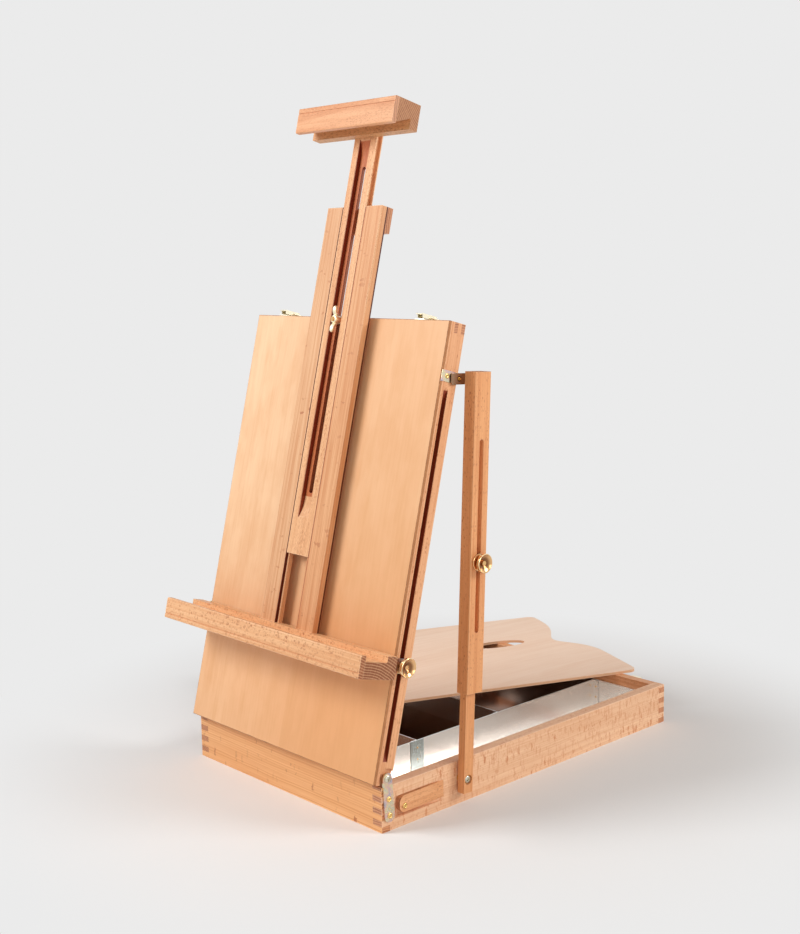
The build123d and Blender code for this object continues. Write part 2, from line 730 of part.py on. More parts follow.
with BuildPart(lid_sheet(-LID_BACK)) as lid_side_left:
    lid_side(-1)
save(lid_side_left, "lid_side_left")

with BuildPart(lid_sheet(-LID_BACK)) as lid_side_right:
    lid_side(1)
    link_rivet_holes()
save(lid_side_right, "lid_side_right")


def lid_end(middle):
    """End rail of the lid with the fingers that show on its sides."""
    with Locations((0, middle, LID_FRAME / 2)):
        Box(2 * LID_INNER_X, LID_END, LID_FRAME)
    for low, high in LID_ROWS:
        with Locations((0, middle, (low + high) / 2)):
            Box(2 * LID_HALF, LID_END, high - low)


with BuildPart(lid_sheet(-LID_BACK)) as lid_end_hinge:
    lid_end(LID_END / 2 - LID_HEEL)
    heel = PIVOT - UP_LID * LID_HEEL - OUT_LID * LID_BACK
    fillet(lid_end_hinge.edges().filter_by(Axis.X).sort_by_distance(heel)[0], HEEL_ROUND)
    pivot_pockets()
save(lid_end_hinge, "lid_end_hinge")


def latch_plane(side, n=0.0, rise=0.0):
    """Plane on the lid's top end at a latch: local y out of the lid's face, normal up the lid."""
    spot = PIVOT + ACROSS * (side * LATCH_X) + UP_LID * (LID_TOP + rise) + OUT_LID * n
    return Plane(origin=spot, x_dir=-ACROSS, z_dir=UP_LID)


LATCH_SCREWS = (LATCH_LOW + 4.0, LATCH_HIGH - 6.0)
with BuildPart(lid_sheet(-LID_BACK)) as lid_end_top:
    lid_end(LID_TOP - LID_END / 2)
    bolt_back = Plane(origin=PIVOT + UP_LID * CLAMP_U - OUT_LID * LID_BACK, z_dir=OUT_LID)
    round_cut(bolt_back, CLAMP_RADIUS, LID_FRAME)
    round_cut(bolt_back, CLAMP_HEAD + PLAY, CLAMP_SINK)
    for latch_side in (-1, 1):
        for n in LATCH_SCREWS:
            round_cut(latch_plane(latch_side, n, -RIVET_DEPTH), RIVET_SHANK, RIVET_DEPTH)
save(lid_end_top, "lid_end_top")

with BuildPart(lid_sheet(LID_INNER)) as lid_panel:
    with Locations((0, LID_MIDDLE, LID_PLY / 2)):
        sheet = Box(2 * LID_HALF, LID_LENGTH, LID_PLY)
    face_edges = sheet.faces().filter_by(Plane(PIVOT, z_dir=OUT_LID)).sort_by(Axis(PIVOT, OUT_LID))
    fillet(face_edges[-1].edges(), EDGE_ROUND)
    bolt_front = Plane(origin=PIVOT + UP_LID * CLAMP_U + OUT_LID * LID_INNER, z_dir=OUT_LID)
    round_cut(bolt_front, CLAMP_RADIUS, LID_PLY)
save(lid_panel, "lid_panel")

# ---------------------------------------------------------------- pivot screws
PLATE_OUTER = HALF_WIDTH + HINGE_SHEET
with BuildPart() as pivot_screws:
    for pivot_side in (-1, 1):
        fastener(
            on_lid_side(0, 0, PLATE_OUTER + PIN_PLAY, pivot_side),
            PIVOT_HEAD,
            PIVOT_HEAD_HEIGHT,
            PIVOT_SHANK,
            PLATE_OUTER + PIN_PLAY - POCKET_FLOOR + PIVOT_SCREW_DEPTH,
        )
save(pivot_screws, "pivot_screws")

with BuildPart() as pivot_spacers:
    for pivot_side in (-1, 1):
        with BuildSketch(on_lid_side(0, 0, POCKET_FLOOR, pivot_side)):
            Circle(PIVOT_SPACER_RADIUS)
            Circle(PIVOT_SHANK, mode=Mode.SUBTRACT)
        extrude(amount=HALF_WIDTH - PIN_PLAY - POCKET_FLOOR)
save(pivot_spacers, "pivot_spacers")

# ---------------------------------------------------------------- link plates
LINK_MIDDLE_N = (LINK_FRONT + LINK_N - LINK_TAIL) / 2
LINK_HEIGHT_N = LINK_FRONT - LINK_N + LINK_TAIL
with BuildPart() as lid_link_plate:
    with BuildSketch(lid_section(LID_HALF)) as link_outline:
        with Locations((LINK_U, LINK_MIDDLE_N)):
            Rectangle(LINK_WIDTH, LINK_HEIGHT_N)
        corners = link_outline.vertices().group_by(Axis.Y)
        fillet(corners[0], LINK_WIDTH * 0.45)
        fillet(corners[-1], LINK_WIDTH * 0.12)
        with Locations((LINK_U, LINK_N)):
            Circle(LINK_PIN + PIN_PLAY, mode=Mode.SUBTRACT)
        for n in (LINK_RIVET_FRONT_N, LINK_RIVET_BACK_N):
            with Locations((LINK_U, n)):
                Circle(RIVET_SHANK, mode=Mode.SUBTRACT)
    extrude(amount=LINK_SHEET)
save(lid_link_plate, "lid_link_plate")

with BuildPart() as lid_link_rivets:
    plate_top = LID_HALF + LINK_SHEET
    fastener(
        on_lid_side(LINK_U, LINK_RIVET_FRONT_N, plate_top),
        LINK_RIVET,
        LINK_RIVET_HEIGHT,
        RIVET_SHANK,
        LINK_SHEET + RIVET_DEPTH,
    )
    # The rear one is flush, so that the strut's plate passes over it
    with BuildSketch(on_lid_side(LINK_U, LINK_RIVET_BACK_N, LID_HALF - RIVET_DEPTH)):
        Circle(RIVET_SHANK)
    extrude(amount=LINK_SHEET + RIVET_DEPTH)
save(lid_link_rivets, "lid_link_rivets")

STRUT_RIVETS = (-4.0, 5.0)
STRUT_RIVET_DEPTH = 6.0
with BuildPart() as strut_link_plate:
    with BuildSketch(strut_section(STRUT_FACE - LINK_SHEET)) as strap_outline:
        with Locations((LINK_S, (LINK_REACH + LINK_TIP - LINK_BACK) / 2)):
            Rectangle(LINK_WIDTH, LINK_REACH + LINK_TIP + LINK_BACK)
        fillet(strap_outline.vertices(), LINK_WIDTH * 0.2)
        with Locations((LINK_S, LINK_REACH)):
            Circle(LINK_PIN, mode=Mode.SUBTRACT)
        for front in STRUT_RIVETS:
            with Locations((LINK_S, front)):
                Circle(RIVET_SHANK, mode=Mode.SUBTRACT)
    extrude(amount=LINK_SHEET)
save(strut_link_plate, "strut_link_plate")


def on_strut(s, front, x):
    """Plane on the strut facing outward, s up it and front towards the lid."""
    section = strut_section(x)
    spot = section.origin + section.x_dir * s + section.y_dir * front
    return outward(x, spot.Y, spot.Z)


with BuildPart() as strut_link_rivets:
    fastener(
        on_strut(LINK_S, LINK_REACH, STRUT_FACE),
        LINK_RIVET,
        RIVET_HEIGHT,
        LINK_PIN,
        LINK_SHEET,
    )
    for front in STRUT_RIVETS:
        with BuildSketch(on_strut(LINK_S, front, STRUT_FACE - LINK_SHEET)):
            Circle(RIVET_SHANK)
        extrude(amount=LINK_SHEET + STRUT_RIVET_DEPTH)
save(strut_link_rivets, "strut_link_rivets")

# ---------------------------------------------------------------- strut bars
with BuildPart() as strut_lower:
    with BuildSketch(strut_section(STRUT_FACE)):
        with Locations(((LOWER_LENGTH - LOWER_TAIL) / 2, 0)):
            Rectangle(LOWER_LENGTH + LOWER_TAIL, LOWER_WIDTH)
    extrude(amount=LOWER_THICKNESS)
    round_cut(strut_section(STRUT_FACE), FOOT_SHANK + PIN_PLAY, LOWER_THICKNESS)
    round_cut(strut_section(FOOT_FLOOR), FOOT_SINK_RADIUS, FOOT_SINK_DEPTH)
    round_cut(on_strut(STRUT_BOLT_AT, 0, STRUT_FACE), STRUT_BOLT_RADIUS, LOWER_THICKNESS)
save(strut_lower, "strut_lower")

with BuildPart() as strut_upper:
    with BuildSketch(strut_section(STRUT_FACE)):
        with Locations(((UPPER_TOP + UPPER_BOTTOM) / 2, 0)):
            Rectangle(UPPER_LENGTH, UPPER_WIDTH)
    extrude(amount=STRUT_THICKNESS)
    outer_edges = strut_upper.faces().sort_by(Axis.X)[-1].edges()
    fillet(outer_edges, EDGE_ROUND)
    # Channel for the lower bar, open towards the box and at the bottom
    channel_length = UPPER_LENGTH - UPPER_SOLID_TOP
    with BuildSketch(strut_section(STRUT_FACE)):
        with Locations((UPPER_BOTTOM + channel_length / 2, 0)):
            Rectangle(channel_length, LOWER_WIDTH + 2 * CHANNEL_PLAY)
    extrude(amount=LOWER_THICKNESS + PLAY, mode=Mode.SUBTRACT)
    with BuildSketch(strut_section(STRUT_FACE)):
        with Locations((UPPER_BOTTOM + (STRUT_SLOT_LOW + STRUT_SLOT_HIGH) / 2, 0)):
            SlotOverall(STRUT_SLOT_HIGH - STRUT_SLOT_LOW, STRUT_SLOT_WIDTH)
    extrude(amount=STRUT_THICKNESS, mode=Mode.SUBTRACT)
    for front in STRUT_RIVETS:
        round_cut(on_strut(LINK_S, front, STRUT_FACE), RIVET_SHANK, STRUT_RIVET_DEPTH)
save(strut_upper, "strut_upper")

KNOB_SEAT = STRUT_OUTER + PLAY
SCREW_END = KNOB_HEIGHT - KNOB_DISH
with BuildPart() as strut_bolt:
    with BuildSketch(on_strut(STRUT_BOLT_AT, 0, STRUT_FACE)):
        Circle(STRUT_BOLT_RADIUS)
    extrude(amount=KNOB_SEAT - STRUT_FACE + SCREW_END)
save(strut_bolt, "strut_bolt")


def knob(seat, bore, collar):
    """Spool-shaped brass knob: collar at its seat, narrow neck, dished disc in front."""
    profile = Plane(origin=seat.origin, x_dir=seat.z_dir, z_dir=seat.x_dir)
    rim_start = KNOB_HEIGHT - KNOB_RIM
    neck_at = (KNOB_COLLAR_HEIGHT + rim_start) / 2
    dish_floor = KNOB_HEIGHT - KNOB_DISH
    with BuildSketch(profile) as half:
        with BuildLine():
            Line((0, bore), (0, collar - KNOB_RIM))
            RadiusArc((0, collar - KNOB_RIM), (KNOB_COLLAR_HEIGHT, collar - KNOB_RIM), KNOB_RIM)
            ThreePointArc(
                (KNOB_COLLAR_HEIGHT, collar - KNOB_RIM),
                (neck_at, KNOB_NECK),
                (rim_start, KNOB_DISC - KNOB_RIM),
            )
            ThreePointArc(
                (rim_start, KNOB_DISC - KNOB_RIM),
                (KNOB_HEIGHT - KNOB_RIM / 2, KNOB_DISC),
                (KNOB_HEIGHT, KNOB_DISC - KNOB_RIM),
            )
            Line((KNOB_HEIGHT, KNOB_DISC - KNOB_RIM), (dish_floor, KNOB_NECK))
            Line((dish_floor, KNOB_NECK), (dish_floor, bore))
            Line((dish_floor, bore), (0, bore))
        make_face()
    revolve(half.sketch, axis=Axis(seat.origin, seat.z_dir))


with BuildPart() as strut_knob:
    knob(on_strut(STRUT_BOLT_AT, 0, KNOB_SEAT), STRUT_BOLT_RADIUS + PIN_PLAY, KNOB_COLLAR)
save(strut_knob, "strut_knob")

# ---------------------------------------------------------------- ledge
LEDGE_BACK = LID_FACE + LEDGE_GAP
LEDGE_FRONT = LEDGE_BACK + LEDGE_BAR
LEDGE_LIP_TOP = LEDGE_LOW + LEDGE_TOP
with BuildPart() as ledge_bar:
    with BuildSketch(lid_section(-LEDGE_HALF)) as ledge_profile:
        with BuildLine():
            Polyline(
                (LEDGE_LOW, LEDGE_BACK),
                (LEDGE_LIP_TOP, LEDGE_BACK),
                (LEDGE_LIP_TOP, LEDGE_BACK + LEDGE_LIP),
                (LEDGE_LOW + LEDGE_FLOOR, LEDGE_BACK + LEDGE_LIP),
                (LEDGE_LOW + LEDGE_FLOOR, LEDGE_FRONT),
                (LEDGE_LOW, LEDGE_FRONT),
                close=True,
            )
        make_face()
    extrude(amount=2 * LEDGE_HALF)
    for screw_side in (-1, 1):
        for inset in (BRACKET_FLANGE * 0.3, BRACKET_FLANGE * 0.75):
            screw_x = screw_side * (LID_HALF - inset)
            spot = PIVOT + ACROSS * screw_x + UP_LID * THUMB_U + OUT_LID * LEDGE_BACK
            round_cut(Plane(origin=spot, z_dir=OUT_LID), BRACKET_SCREW, RIVET_DEPTH)
save(ledge_bar, "ledge_bar")

with BuildPart() as ledge_strip:
    with BuildSketch(lid_section(-LEDGE_HALF)) as strip_profile:
        with Locations((LEDGE_LOW + LEDGE_STRIP_TOP / 2, LEDGE_FRONT + LEDGE_STRIP / 2)):
            Rectangle(LEDGE_STRIP_TOP, LEDGE_STRIP)
        fillet(strip_profile.vertices().group_by(Axis.Y)[-1], 2 * EDGE_ROUND)
        with Locations((LEDGE_LOW + LEDGE_BEAD, LEDGE_FRONT + LEDGE_STRIP)):
            Rectangle(BEAD_WIDTH, 2 * BEAD_DEPTH, mode=Mode.SUBTRACT)
    extrude(amount=2 * LEDGE_HALF)
save(ledge_strip, "ledge_strip")

# ---------------------------------------------------------------- ledge brackets
BRACKET_INNER = LID_HALF + PLAY
BRACKET_OUTER = BRACKET_INNER + BRACKET_SHEET


def lid_cross(u):
    """Plane square to the lid's length: local x across, local y out of the face."""
    return Plane(origin=PIVOT + UP_LID * u, x_dir=ACROSS, z_dir=-UP_LID)


def ledge_bracket(side):
    """Angle that carries one end of the ledge on the thumb screw in the lid's side groove."""
    flange_front = LEDGE_BACK
    flange_back = LEDGE_BACK - BRACKET_SHEET
    flange_inner = LID_HALF - BRACKET_FLANGE
    with BuildSketch(lid_cross(THUMB_U + BRACKET_WIDTH / 2)) as angle:
        with BuildLine():
            Polyline(
                (side * BRACKET_INNER, BRACKET_REAR),
                (side * BRACKET_OUTER, BRACKET_REAR),
                (side * BRACKET_OUTER, flange_front),
                (side * flange_inner, flange_front),
                (side * flange_inner, flange_back),
                (side * BRACKET_INNER, flange_back),
                close=True,
            )
        make_face()
    bent = extrude(angle.sketch, amount=BRACKET_WIDTH)
    rear = bent.faces().sort_by(Axis(PIVOT, OUT_LID))[0]
    fillet(rear.edges().filter_by(Axis.X), BRACKET_WIDTH * 0.3)
    hole = on_lid_side(THUMB_U, SIDE_GROOVE_N, BRACKET_INNER, side)
    round_cut(hole, THUMB_SHANK + PIN_PLAY, BRACKET_SHEET)
    for inset in (BRACKET_FLANGE * 0.3, BRACKET_FLANGE * 0.75):
        spot = PIVOT + ACROSS * (side * (LID_HALF - inset)) + UP_LID * THUMB_U + OUT_LID * flange_back
        round_cut(Plane(origin=spot, z_dir=OUT_LID), BRACKET_SCREW, BRACKET_SHEET)


with BuildPart() as ledge_bracket_left:
    ledge_bracket(-1)
save(ledge_bracket_left, "ledge_bracket_left")

with BuildPart() as ledge_bracket_right:
    ledge_bracket(1)
save(ledge_bracket_right, "ledge_bracket_right")

with BuildPart() as bracket_screws:
    for screw_side in (-1, 1):
        for inset in (BRACKET_FLANGE * 0.3, BRACKET_FLANGE * 0.75):
            screw_x = screw_side * (LID_HALF - inset)
            screw_n = LEDGE_BACK - BRACKET_SHEET
            spot = PIVOT + ACROSS * screw_x + UP_LID * THUMB_U + OUT_LID * screw_n
            fastener(
                Plane(origin=spot, z_dir=-OUT_LID),
                2 * BRACKET_SCREW,
                0.6 * BRACKET_SCREW,
                BRACKET_SCREW,
                BRACKET_SHEET + RIVET_DEPTH,
            )
save(bracket_screws, "bracket_screws")

# The thumb screws' tips stay clear of the groove's sloping lower end
saw_middle = SIDE_GROOVE_LOW + saw_runout(SIDE_GROOVE_DEPTH)
lowest_tip = THUMB_U - CARRIAGE_DOWN - THUMB_SHANK
tip_wall = LID_HALF - SIDE_GROOVE_DEPTH + SAW_RADIUS
tip_wall -= sqrt(SAW_RADIUS**2 - (saw_middle - lowest_tip) ** 2)
THUMB_TIP = tip_wall + PLAY


def thumb_screw(side):
    """Knob with its screw, seated on a bracket and reaching into the lid's groove."""
    seat = on_lid_side(THUMB_U, SIDE_GROOVE_N, BRACKET_OUTER + PLAY, side)
    knob(seat, 0, THUMB_COLLAR)
    with BuildSketch(on_lid_side(THUMB_U, SIDE_GROOVE_N, THUMB_TIP, side)) as shank:
        Circle(THUMB_SHANK)
    extrude(shank.sketch, amount=BRACKET_OUTER + PLAY - THUMB_TIP)


with BuildPart() as thumb_screw_left:
    thumb_screw(-1)
save(thumb_screw_left, "thumb_screw_left")

with BuildPart() as thumb_screw_right:
    thumb_screw(1)
save(thumb_screw_right, "thumb_screw_right")

# ---------------------------------------------------------------- rails
RAIL_BACK = LID_FACE + RAIL_GAP
RAIL_FRONT = RAIL_BACK + RAIL_THICKNESS
TONGUE_BACK = RAIL_BACK + TONGUE_RISE


def rail(side):
    """Upright rail with the tongue that the mast runs on."""
    with BuildSketch(lid_cross(RAIL_TOP)) as section:
        with Locations((side * (RAIL_INNER + RAIL_OUTER) / 2, (RAIL_BACK + RAIL_FRONT) / 2)):
            Rectangle(RAIL_OUTER - RAIL_INNER, RAIL_THICKNESS)
        outer_corners = section.vertices().group_by(Axis.X)[-1 if side > 0 else 0]
        fillet(outer_corners.sort_by(Axis.Y)[-1], EDGE_ROUND)
        with Locations((side * (RAIL_INNER - TONGUE / 2), TONGUE_BACK + TONGUE_THICKNESS / 2)):
            Rectangle(TONGUE, TONGUE_THICKNESS)
    extrude(section.sketch, amount=RAIL_TOP - LEDGE_LIP_TOP)


with BuildPart() as rail_left:
    rail(-1)
save(rail_left, "rail_left")

with BuildPart() as rail_right:
    rail(1)
save(rail_right, "rail_right")

BRIDGE_BACK = LID_FACE - BRIDGE_STOP
with BuildPart() as rail_bridge:
    with BuildSketch(lid_cross(RAIL_TOP)) as bridge_section:
        with Locations((0, (BRIDGE_BACK + RAIL_BACK) / 2)):
            Rectangle(2 * RAIL_OUTER, RAIL_BACK - BRIDGE_BACK)
        fillet(bridge_section.vertices().group_by(Axis.Y)[0], EDGE_ROUND)
    extrude(amount=BRIDGE_LENGTH)
save(rail_bridge, "rail_bridge")

# ---------------------------------------------------------------- mast
MAST_HALF = RAIL_INNER - MAST_PLAY
MAST_BACK = RAIL_BACK + PLAY
LAP_FACE = RAIL_FRONT - MAST_LAP
with BuildPart() as mast:
    with BuildSketch(lid_cross(MAST_TOP)):
        with Locations((0, (MAST_BACK + RAIL_FRONT) / 2)):
            Rectangle(2 * MAST_HALF, RAIL_FRONT - MAST_BACK)
        groove_depth = TONGUE + TONGUE_TIP_PLAY - MAST_PLAY
        for groove_side in (-1, 1):
            groove_x = groove_side * (MAST_HALF - groove_depth / 2)
            with Locations((groove_x, TONGUE_BACK + TONGUE_THICKNESS / 2)):
                Rectangle(groove_depth, TONGUE_THICKNESS + 2 * TONGUE_FACE_PLAY, mode=Mode.SUBTRACT)
    extrude(amount=MAST_TOP - MAST_LOW)
    # Wide recess cut by a disc, and the slot for the clamp bolt
    recess_flat = MAST_RECESS_HIGH - MAST_RECESS_LOW - 2 * saw_runout(MAST_RECESS_DEPTH)
    recess_middle = (MAST_RECESS_HIGH + MAST_RECESS_LOW) / 2
    with BuildSketch(lid_section(-MAST_RECESS_HALF)):
        with Locations((recess_middle, RAIL_FRONT - MAST_RECESS_DEPTH + SAW_RADIUS)):
            SlotCenterToCenter(recess_flat, 2 * SAW_RADIUS)
    extrude(amount=2 * MAST_RECESS_HALF, mode=Mode.SUBTRACT)
    with BuildSketch(lid_sheet(MAST_BACK)):
        with Locations((0, (MAST_SLOT_LOW + MAST_SLOT_HIGH) / 2)):
            SlotOverall(MAST_SLOT_HIGH - MAST_SLOT_LOW, MAST_SLOT_WIDTH, rotation=90)
    extrude(amount=RAIL_FRONT - MAST_BACK, mode=Mode.SUBTRACT)
    # Half lap under the head
    with BuildSketch(lid_sheet(LAP_FACE)):
        with Locations((0, (HEAD_LOW + MAST_TOP) / 2)):
            Rectangle(2 * MAST_HALF, MAST_TOP - HEAD_LOW)
    extrude(amount=MAST_LAP, mode=Mode.SUBTRACT)
    for screw_x in (-MAST_HALF / 2, MAST_HALF / 2):
        spot = PIVOT + ACROSS * screw_x + UP_LID * HEAD_SCREW_U + OUT_LID * MAST_BACK
        round_cut(Plane(origin=spot, z_dir=OUT_LID), RIVET_SHANK, LAP_FACE - MAST_BACK)
save(mast, "mast")

HEAD_STRIP_BACK = LAP_FACE + HEAD_DEPTH
with BuildPart() as head_bar:
    with BuildSketch(lid_section(-HEAD_HALF)):
        with BuildLine():
            Polyline(
                (HEAD_LOW, LAP_FACE),
                (HEAD_TOP, LAP_FACE),
                (HEAD_TOP, HEAD_STRIP_BACK),
                (HEAD_LOW + HEAD_CEILING_LOW, HEAD_STRIP_BACK),
                (HEAD_LOW + HEAD_CEILING, LAP_FACE + HEAD_LIP),
                (HEAD_LOW, LAP_FACE + HEAD_LIP),
                close=True,
            )
        make_face()
    extrude(amount=2 * HEAD_HALF)
    for screw_x in (-MAST_HALF / 2, MAST_HALF / 2):
        spot = PIVOT + ACROSS * screw_x + UP_LID * HEAD_SCREW_U + OUT_LID * LAP_FACE
        round_cut(Plane(origin=spot, z_dir=OUT_LID), RIVET_SHANK, RIVET_DEPTH)
save(head_bar, "head_bar")

with BuildPart() as head_strip:
    strip_low = HEAD_LOW + HEAD_STRIP_RISE
    with BuildSketch(lid_section(-HEAD_HALF)) as head_profile:
        with Locations(((strip_low + HEAD_TOP) / 2, HEAD_STRIP_BACK + HEAD_STRIP / 2)):
            Rectangle(HEAD_TOP - strip_low, HEAD_STRIP)
        fillet(head_profile.vertices().group_by(Axis.Y)[-1], 2 * EDGE_ROUND)
        with Locations((HEAD_TOP - HEAD_BEAD, HEAD_STRIP_BACK + HEAD_STRIP)):
            Rectangle(BEAD_WIDTH, 2 * BEAD_DEPTH, mode=Mode.SUBTRACT)
    extrude(amount=2 * HEAD_HALF)
save(head_strip, "head_strip")

with BuildPart() as head_screws:
    for screw_x in (-MAST_HALF / 2, MAST_HALF / 2):
        spot = PIVOT + ACROSS * screw_x + UP_LID * HEAD_SCREW_U + OUT_LID * MAST_BACK
        fastener(
            Plane(origin=spot, z_dir=-OUT_LID),
            RIVET_HEAD,
            RIVET_HEIGHT,
            RIVET_SHANK,
            LAP_FACE - MAST_BACK + RIVET_DEPTH,
        )
save(head_screws, "head_screws")

# ---------------------------------------------------------------- clamp
CLAMP_SEAT = CLAMP_SINK - LID_BACK
NUT_LOW = RAIL_FRONT - MAST_RECESS_DEPTH + PLAY
NUT_TOP = NUT_LOW + NUT_HEIGHT


def clamp_plane(n):
    """Plane square to the clamp bolt at n."""
    return Plane(origin=PIVOT + UP_LID * CLAMP_U + OUT_LID * n, x_dir=ACROSS, z_dir=OUT_LID)


with BuildPart() as clamp_bolt:
    with BuildSketch(clamp_plane(CLAMP_SEAT - CLAMP_HEAD_HEIGHT)):
        RegularPolygon(CLAMP_HEAD, 6)
    extrude(amount=CLAMP_HEAD_HEIGHT)
    with BuildSketch(clamp_plane(CLAMP_SEAT)):
        Circle(CLAMP_RADIUS)
    extrude(amount=NUT_TOP + BOLT_PROUD - CLAMP_SEAT)
save(clamp_bolt, "clamp_bolt")

with BuildPart() as clamp_pad:
    with BuildSketch(lid_sheet(LID_FACE)):
        with Locations((0, LID_TOP - PAD_LENGTH / 2 - PLAY)):
            Rectangle(2 * PAD_HALF, PAD_LENGTH)
        with Locations((0, CLAMP_U)):
            Circle(CLAMP_RADIUS, mode=Mode.SUBTRACT)
    extrude(amount=RAIL_GAP)
save(clamp_pad, "clamp_pad")

with BuildPart() as wing_nut:
    with BuildSketch(clamp_plane(NUT_LOW)):
        Circle(NUT_BOSS)
    extrude(amount=NUT_HEIGHT, taper=6)
    # Wings: clear of the recess's walls, spread above the mast's face
    wing_back = RAIL_FRONT + PLAY
    wing_front = NUT_TOP + NUT_WING_RISE
    for wing in (-1, 1):
        with BuildSketch(lid_section(-NUT_WING / 2)) as wing_outline:
            with BuildLine():
                Polyline(
                    (CLAMP_U + wing * NUT_BOSS * 0.7, wing_back - PLAY * 4),
                    (CLAMP_U + wing * NUT_BOSS * 1.6, wing_back),
                    (CLAMP_U + wing * NUT_SPAN, wing_back + NUT_WING_RISE * 0.5),
                    (CLAMP_U + wing * NUT_SPAN, wing_front),
                    (CLAMP_U + wing * NUT_SPAN * 0.7, wing_front),
                    (CLAMP_U + wing * NUT_BOSS * 0.7, NUT_TOP - PLAY * 2),
                    close=True,
                )
            make_face()
            tips = wing_outline.vertices().sort_by(Axis.Y)
            fillet(tips[-2:], NUT_SPAN * 0.12)
        extrude(amount=NUT_WING)
    round_cut(clamp_plane(NUT_LOW), CLAMP_RADIUS + PIN_PLAY, 2 * NUT_HEIGHT)
save(wing_nut, "wing_nut")

# ---------------------------------------------------------------- latches
with BuildPart() as latch_bases:
    for latch_side in (-1, 1):
        with BuildSketch(latch_plane(latch_side)):
            with Locations((0, (LATCH_LOW + LATCH_HIGH) / 2)):
                RectangleRounded(LATCH_WIDTH, LATCH_HIGH - LATCH_LOW, EDGE_ROUND)
            for n in LATCH_SCREWS:
                with Locations((0, n)):
                    Circle(RIVET_SHANK, mode=Mode.SUBTRACT)
        extrude(amount=LATCH_SHEET)
        # Ears that hold the lever's pin
        for ear in (-1, 1):
            ear_x = latch_side * LATCH_X + ear * (LEVER_HALF + PLAY + EAR / 2)
            origin = PIVOT + ACROSS * (ear_x + EAR / 2) + UP_LID * LID_TOP
            with BuildSketch(Plane(origin=origin, x_dir=OUT_LID, z_dir=-ACROSS)):
                with Locations((LEVER_AXIS_N, LEVER_AXIS_RISE)):
                    Circle(2 * LEVER_PIN)
                with Locations((LEVER_AXIS_N, (LATCH_SHEET + LEVER_AXIS_RISE) / 2)):
                    Rectangle(4 * LEVER_PIN, LEVER_AXIS_RISE - LATCH_SHEET)
            extrude(amount=EAR)
        # Pin across the ears
        pin_half = LEVER_HALF + PLAY + EAR
        spot = PIVOT + UP_LID * (LID_TOP + LEVER_AXIS_RISE) + OUT_LID * LEVER_AXIS_N
        with BuildSketch(Plane(origin=spot + ACROSS * (latch_side * LATCH_X - pin_half), z_dir=ACROSS)):
            Circle(LEVER_PIN)
        extrude(amount=2 * pin_half)
save(latch_bases, "latch_bases")

with BuildPart() as latch_screws:
    for latch_side in (-1, 1):
        for n in LATCH_SCREWS:
            fastener(
                latch_plane(latch_side, n, LATCH_SHEET),
                RIVET_HEAD * 0.75,
                RIVET_HEIGHT * 0.5,
                RIVET_SHANK,
                LATCH_SHEET + RIVET_DEPTH,
            )
save(latch_screws, "latch_screws")


def latch_lever(side):
    """Folded lever: flat top with a curled lip, and two cheeks that hold the pins."""
    top = LEVER_AXIS_RISE + 2 * LEVER_PIN + LEVER_SHEET
    low = LEVER_AXIS_N - 1.8 * LEVER_PIN
    lip = LEVER_TIP - 2 * LEVER_SHEET
    origin = PIVOT + ACROSS * (side * LATCH_X) + UP_LID * LID_TOP
    with BuildSketch(Plane(origin=origin, x_dir=OUT_LID, z_dir=-ACROSS)) as top_profile:
        with BuildLine():
            Polyline((low, top), (lip, top), (LEVER_TIP, top - LEVER_SHEET))
            offset(amount=LEVER_SHEET / 2, side=Side.BOTH)
        make_face()
    extrude(top_profile.sketch, amount=LEVER_HALF, both=True)
    cheek = LEVER_HALF - LEVER_SHEET
    for cheek_side in (-1, 1):
        base = LEVER_HALF if cheek_side > 0 else -cheek
        spot = origin + ACROSS * base
        with BuildSketch(Plane(origin=spot, x_dir=OUT_LID, z_dir=-ACROSS)) as cheek_profile:
            with BuildLine():
                Polyline(
                    (low, top),
                    (low, LEVER_AXIS_RISE),
                    (LEVER_AXIS_N, LEVER_AXIS_RISE - 1.8 * LEVER_PIN),
                    (lip - LEVER_SHEET, LEVER_AXIS_RISE - 1.8 * LEVER_PIN),
                    (lip, top),
                    close=True,
                )
            make_face()
            with Locations((LEVER_AXIS_N, LEVER_AXIS_RISE)):
                Circle(LEVER_PIN + PIN_PLAY, mode=Mode.SUBTRACT)
            with Locations((BAIL_AXIS_N, LEVER_AXIS_RISE)):
                Circle(BAIL_WIRE + PIN_PLAY, mode=Mode.SUBTRACT)
        extrude(cheek_profile.sketch, amount=LEVER_SHEET)


with BuildPart() as latch_lever_left:
    latch_lever(-1)
save(latch_lever_left, "latch_lever_left")

with BuildPart() as latch_lever_right:
    latch_lever(1)
save(latch_lever_right, "latch_lever_right")


def latch_bail(side):
    """Wire loop that the lever pulls over the keeper."""
    origin = PIVOT + ACROSS * (side * LATCH_X) + UP_LID * (LID_TOP + LEVER_AXIS_RISE)
    inner = LEVER_HALF - 1.5 * LEVER_SHEET
    wire_plane = Plane(origin=origin, x_dir=-ACROSS, z_dir=UP_LID)
    with BuildLine(wire_plane) as path:
        FilletPolyline(
            (-inner, BAIL_AXIS_N),
            (-BAIL_HALF, BAIL_AXIS_N),
            (-BAIL_HALF, BAIL_END),
            (BAIL_HALF, BAIL_END),
            (BAIL_HALF, BAIL_AXIS_N),
            (inner, BAIL_AXIS_N),
            radius=1.3 * BAIL_WIRE,
        )
    start = path.line @ 0
    with BuildSketch(Plane(origin=start, z_dir=path.line % 0)) as wire:
        Circle(BAIL_WIRE)
    sweep(wire.sketch, path=path.line)


with BuildPart() as latch_bail_left:
    latch_bail(-1)
save(latch_bail_left, "latch_bail_left")

with BuildPart() as latch_bail_right:
    latch_bail(1)
save(latch_bail_right, "latch_bail_right")

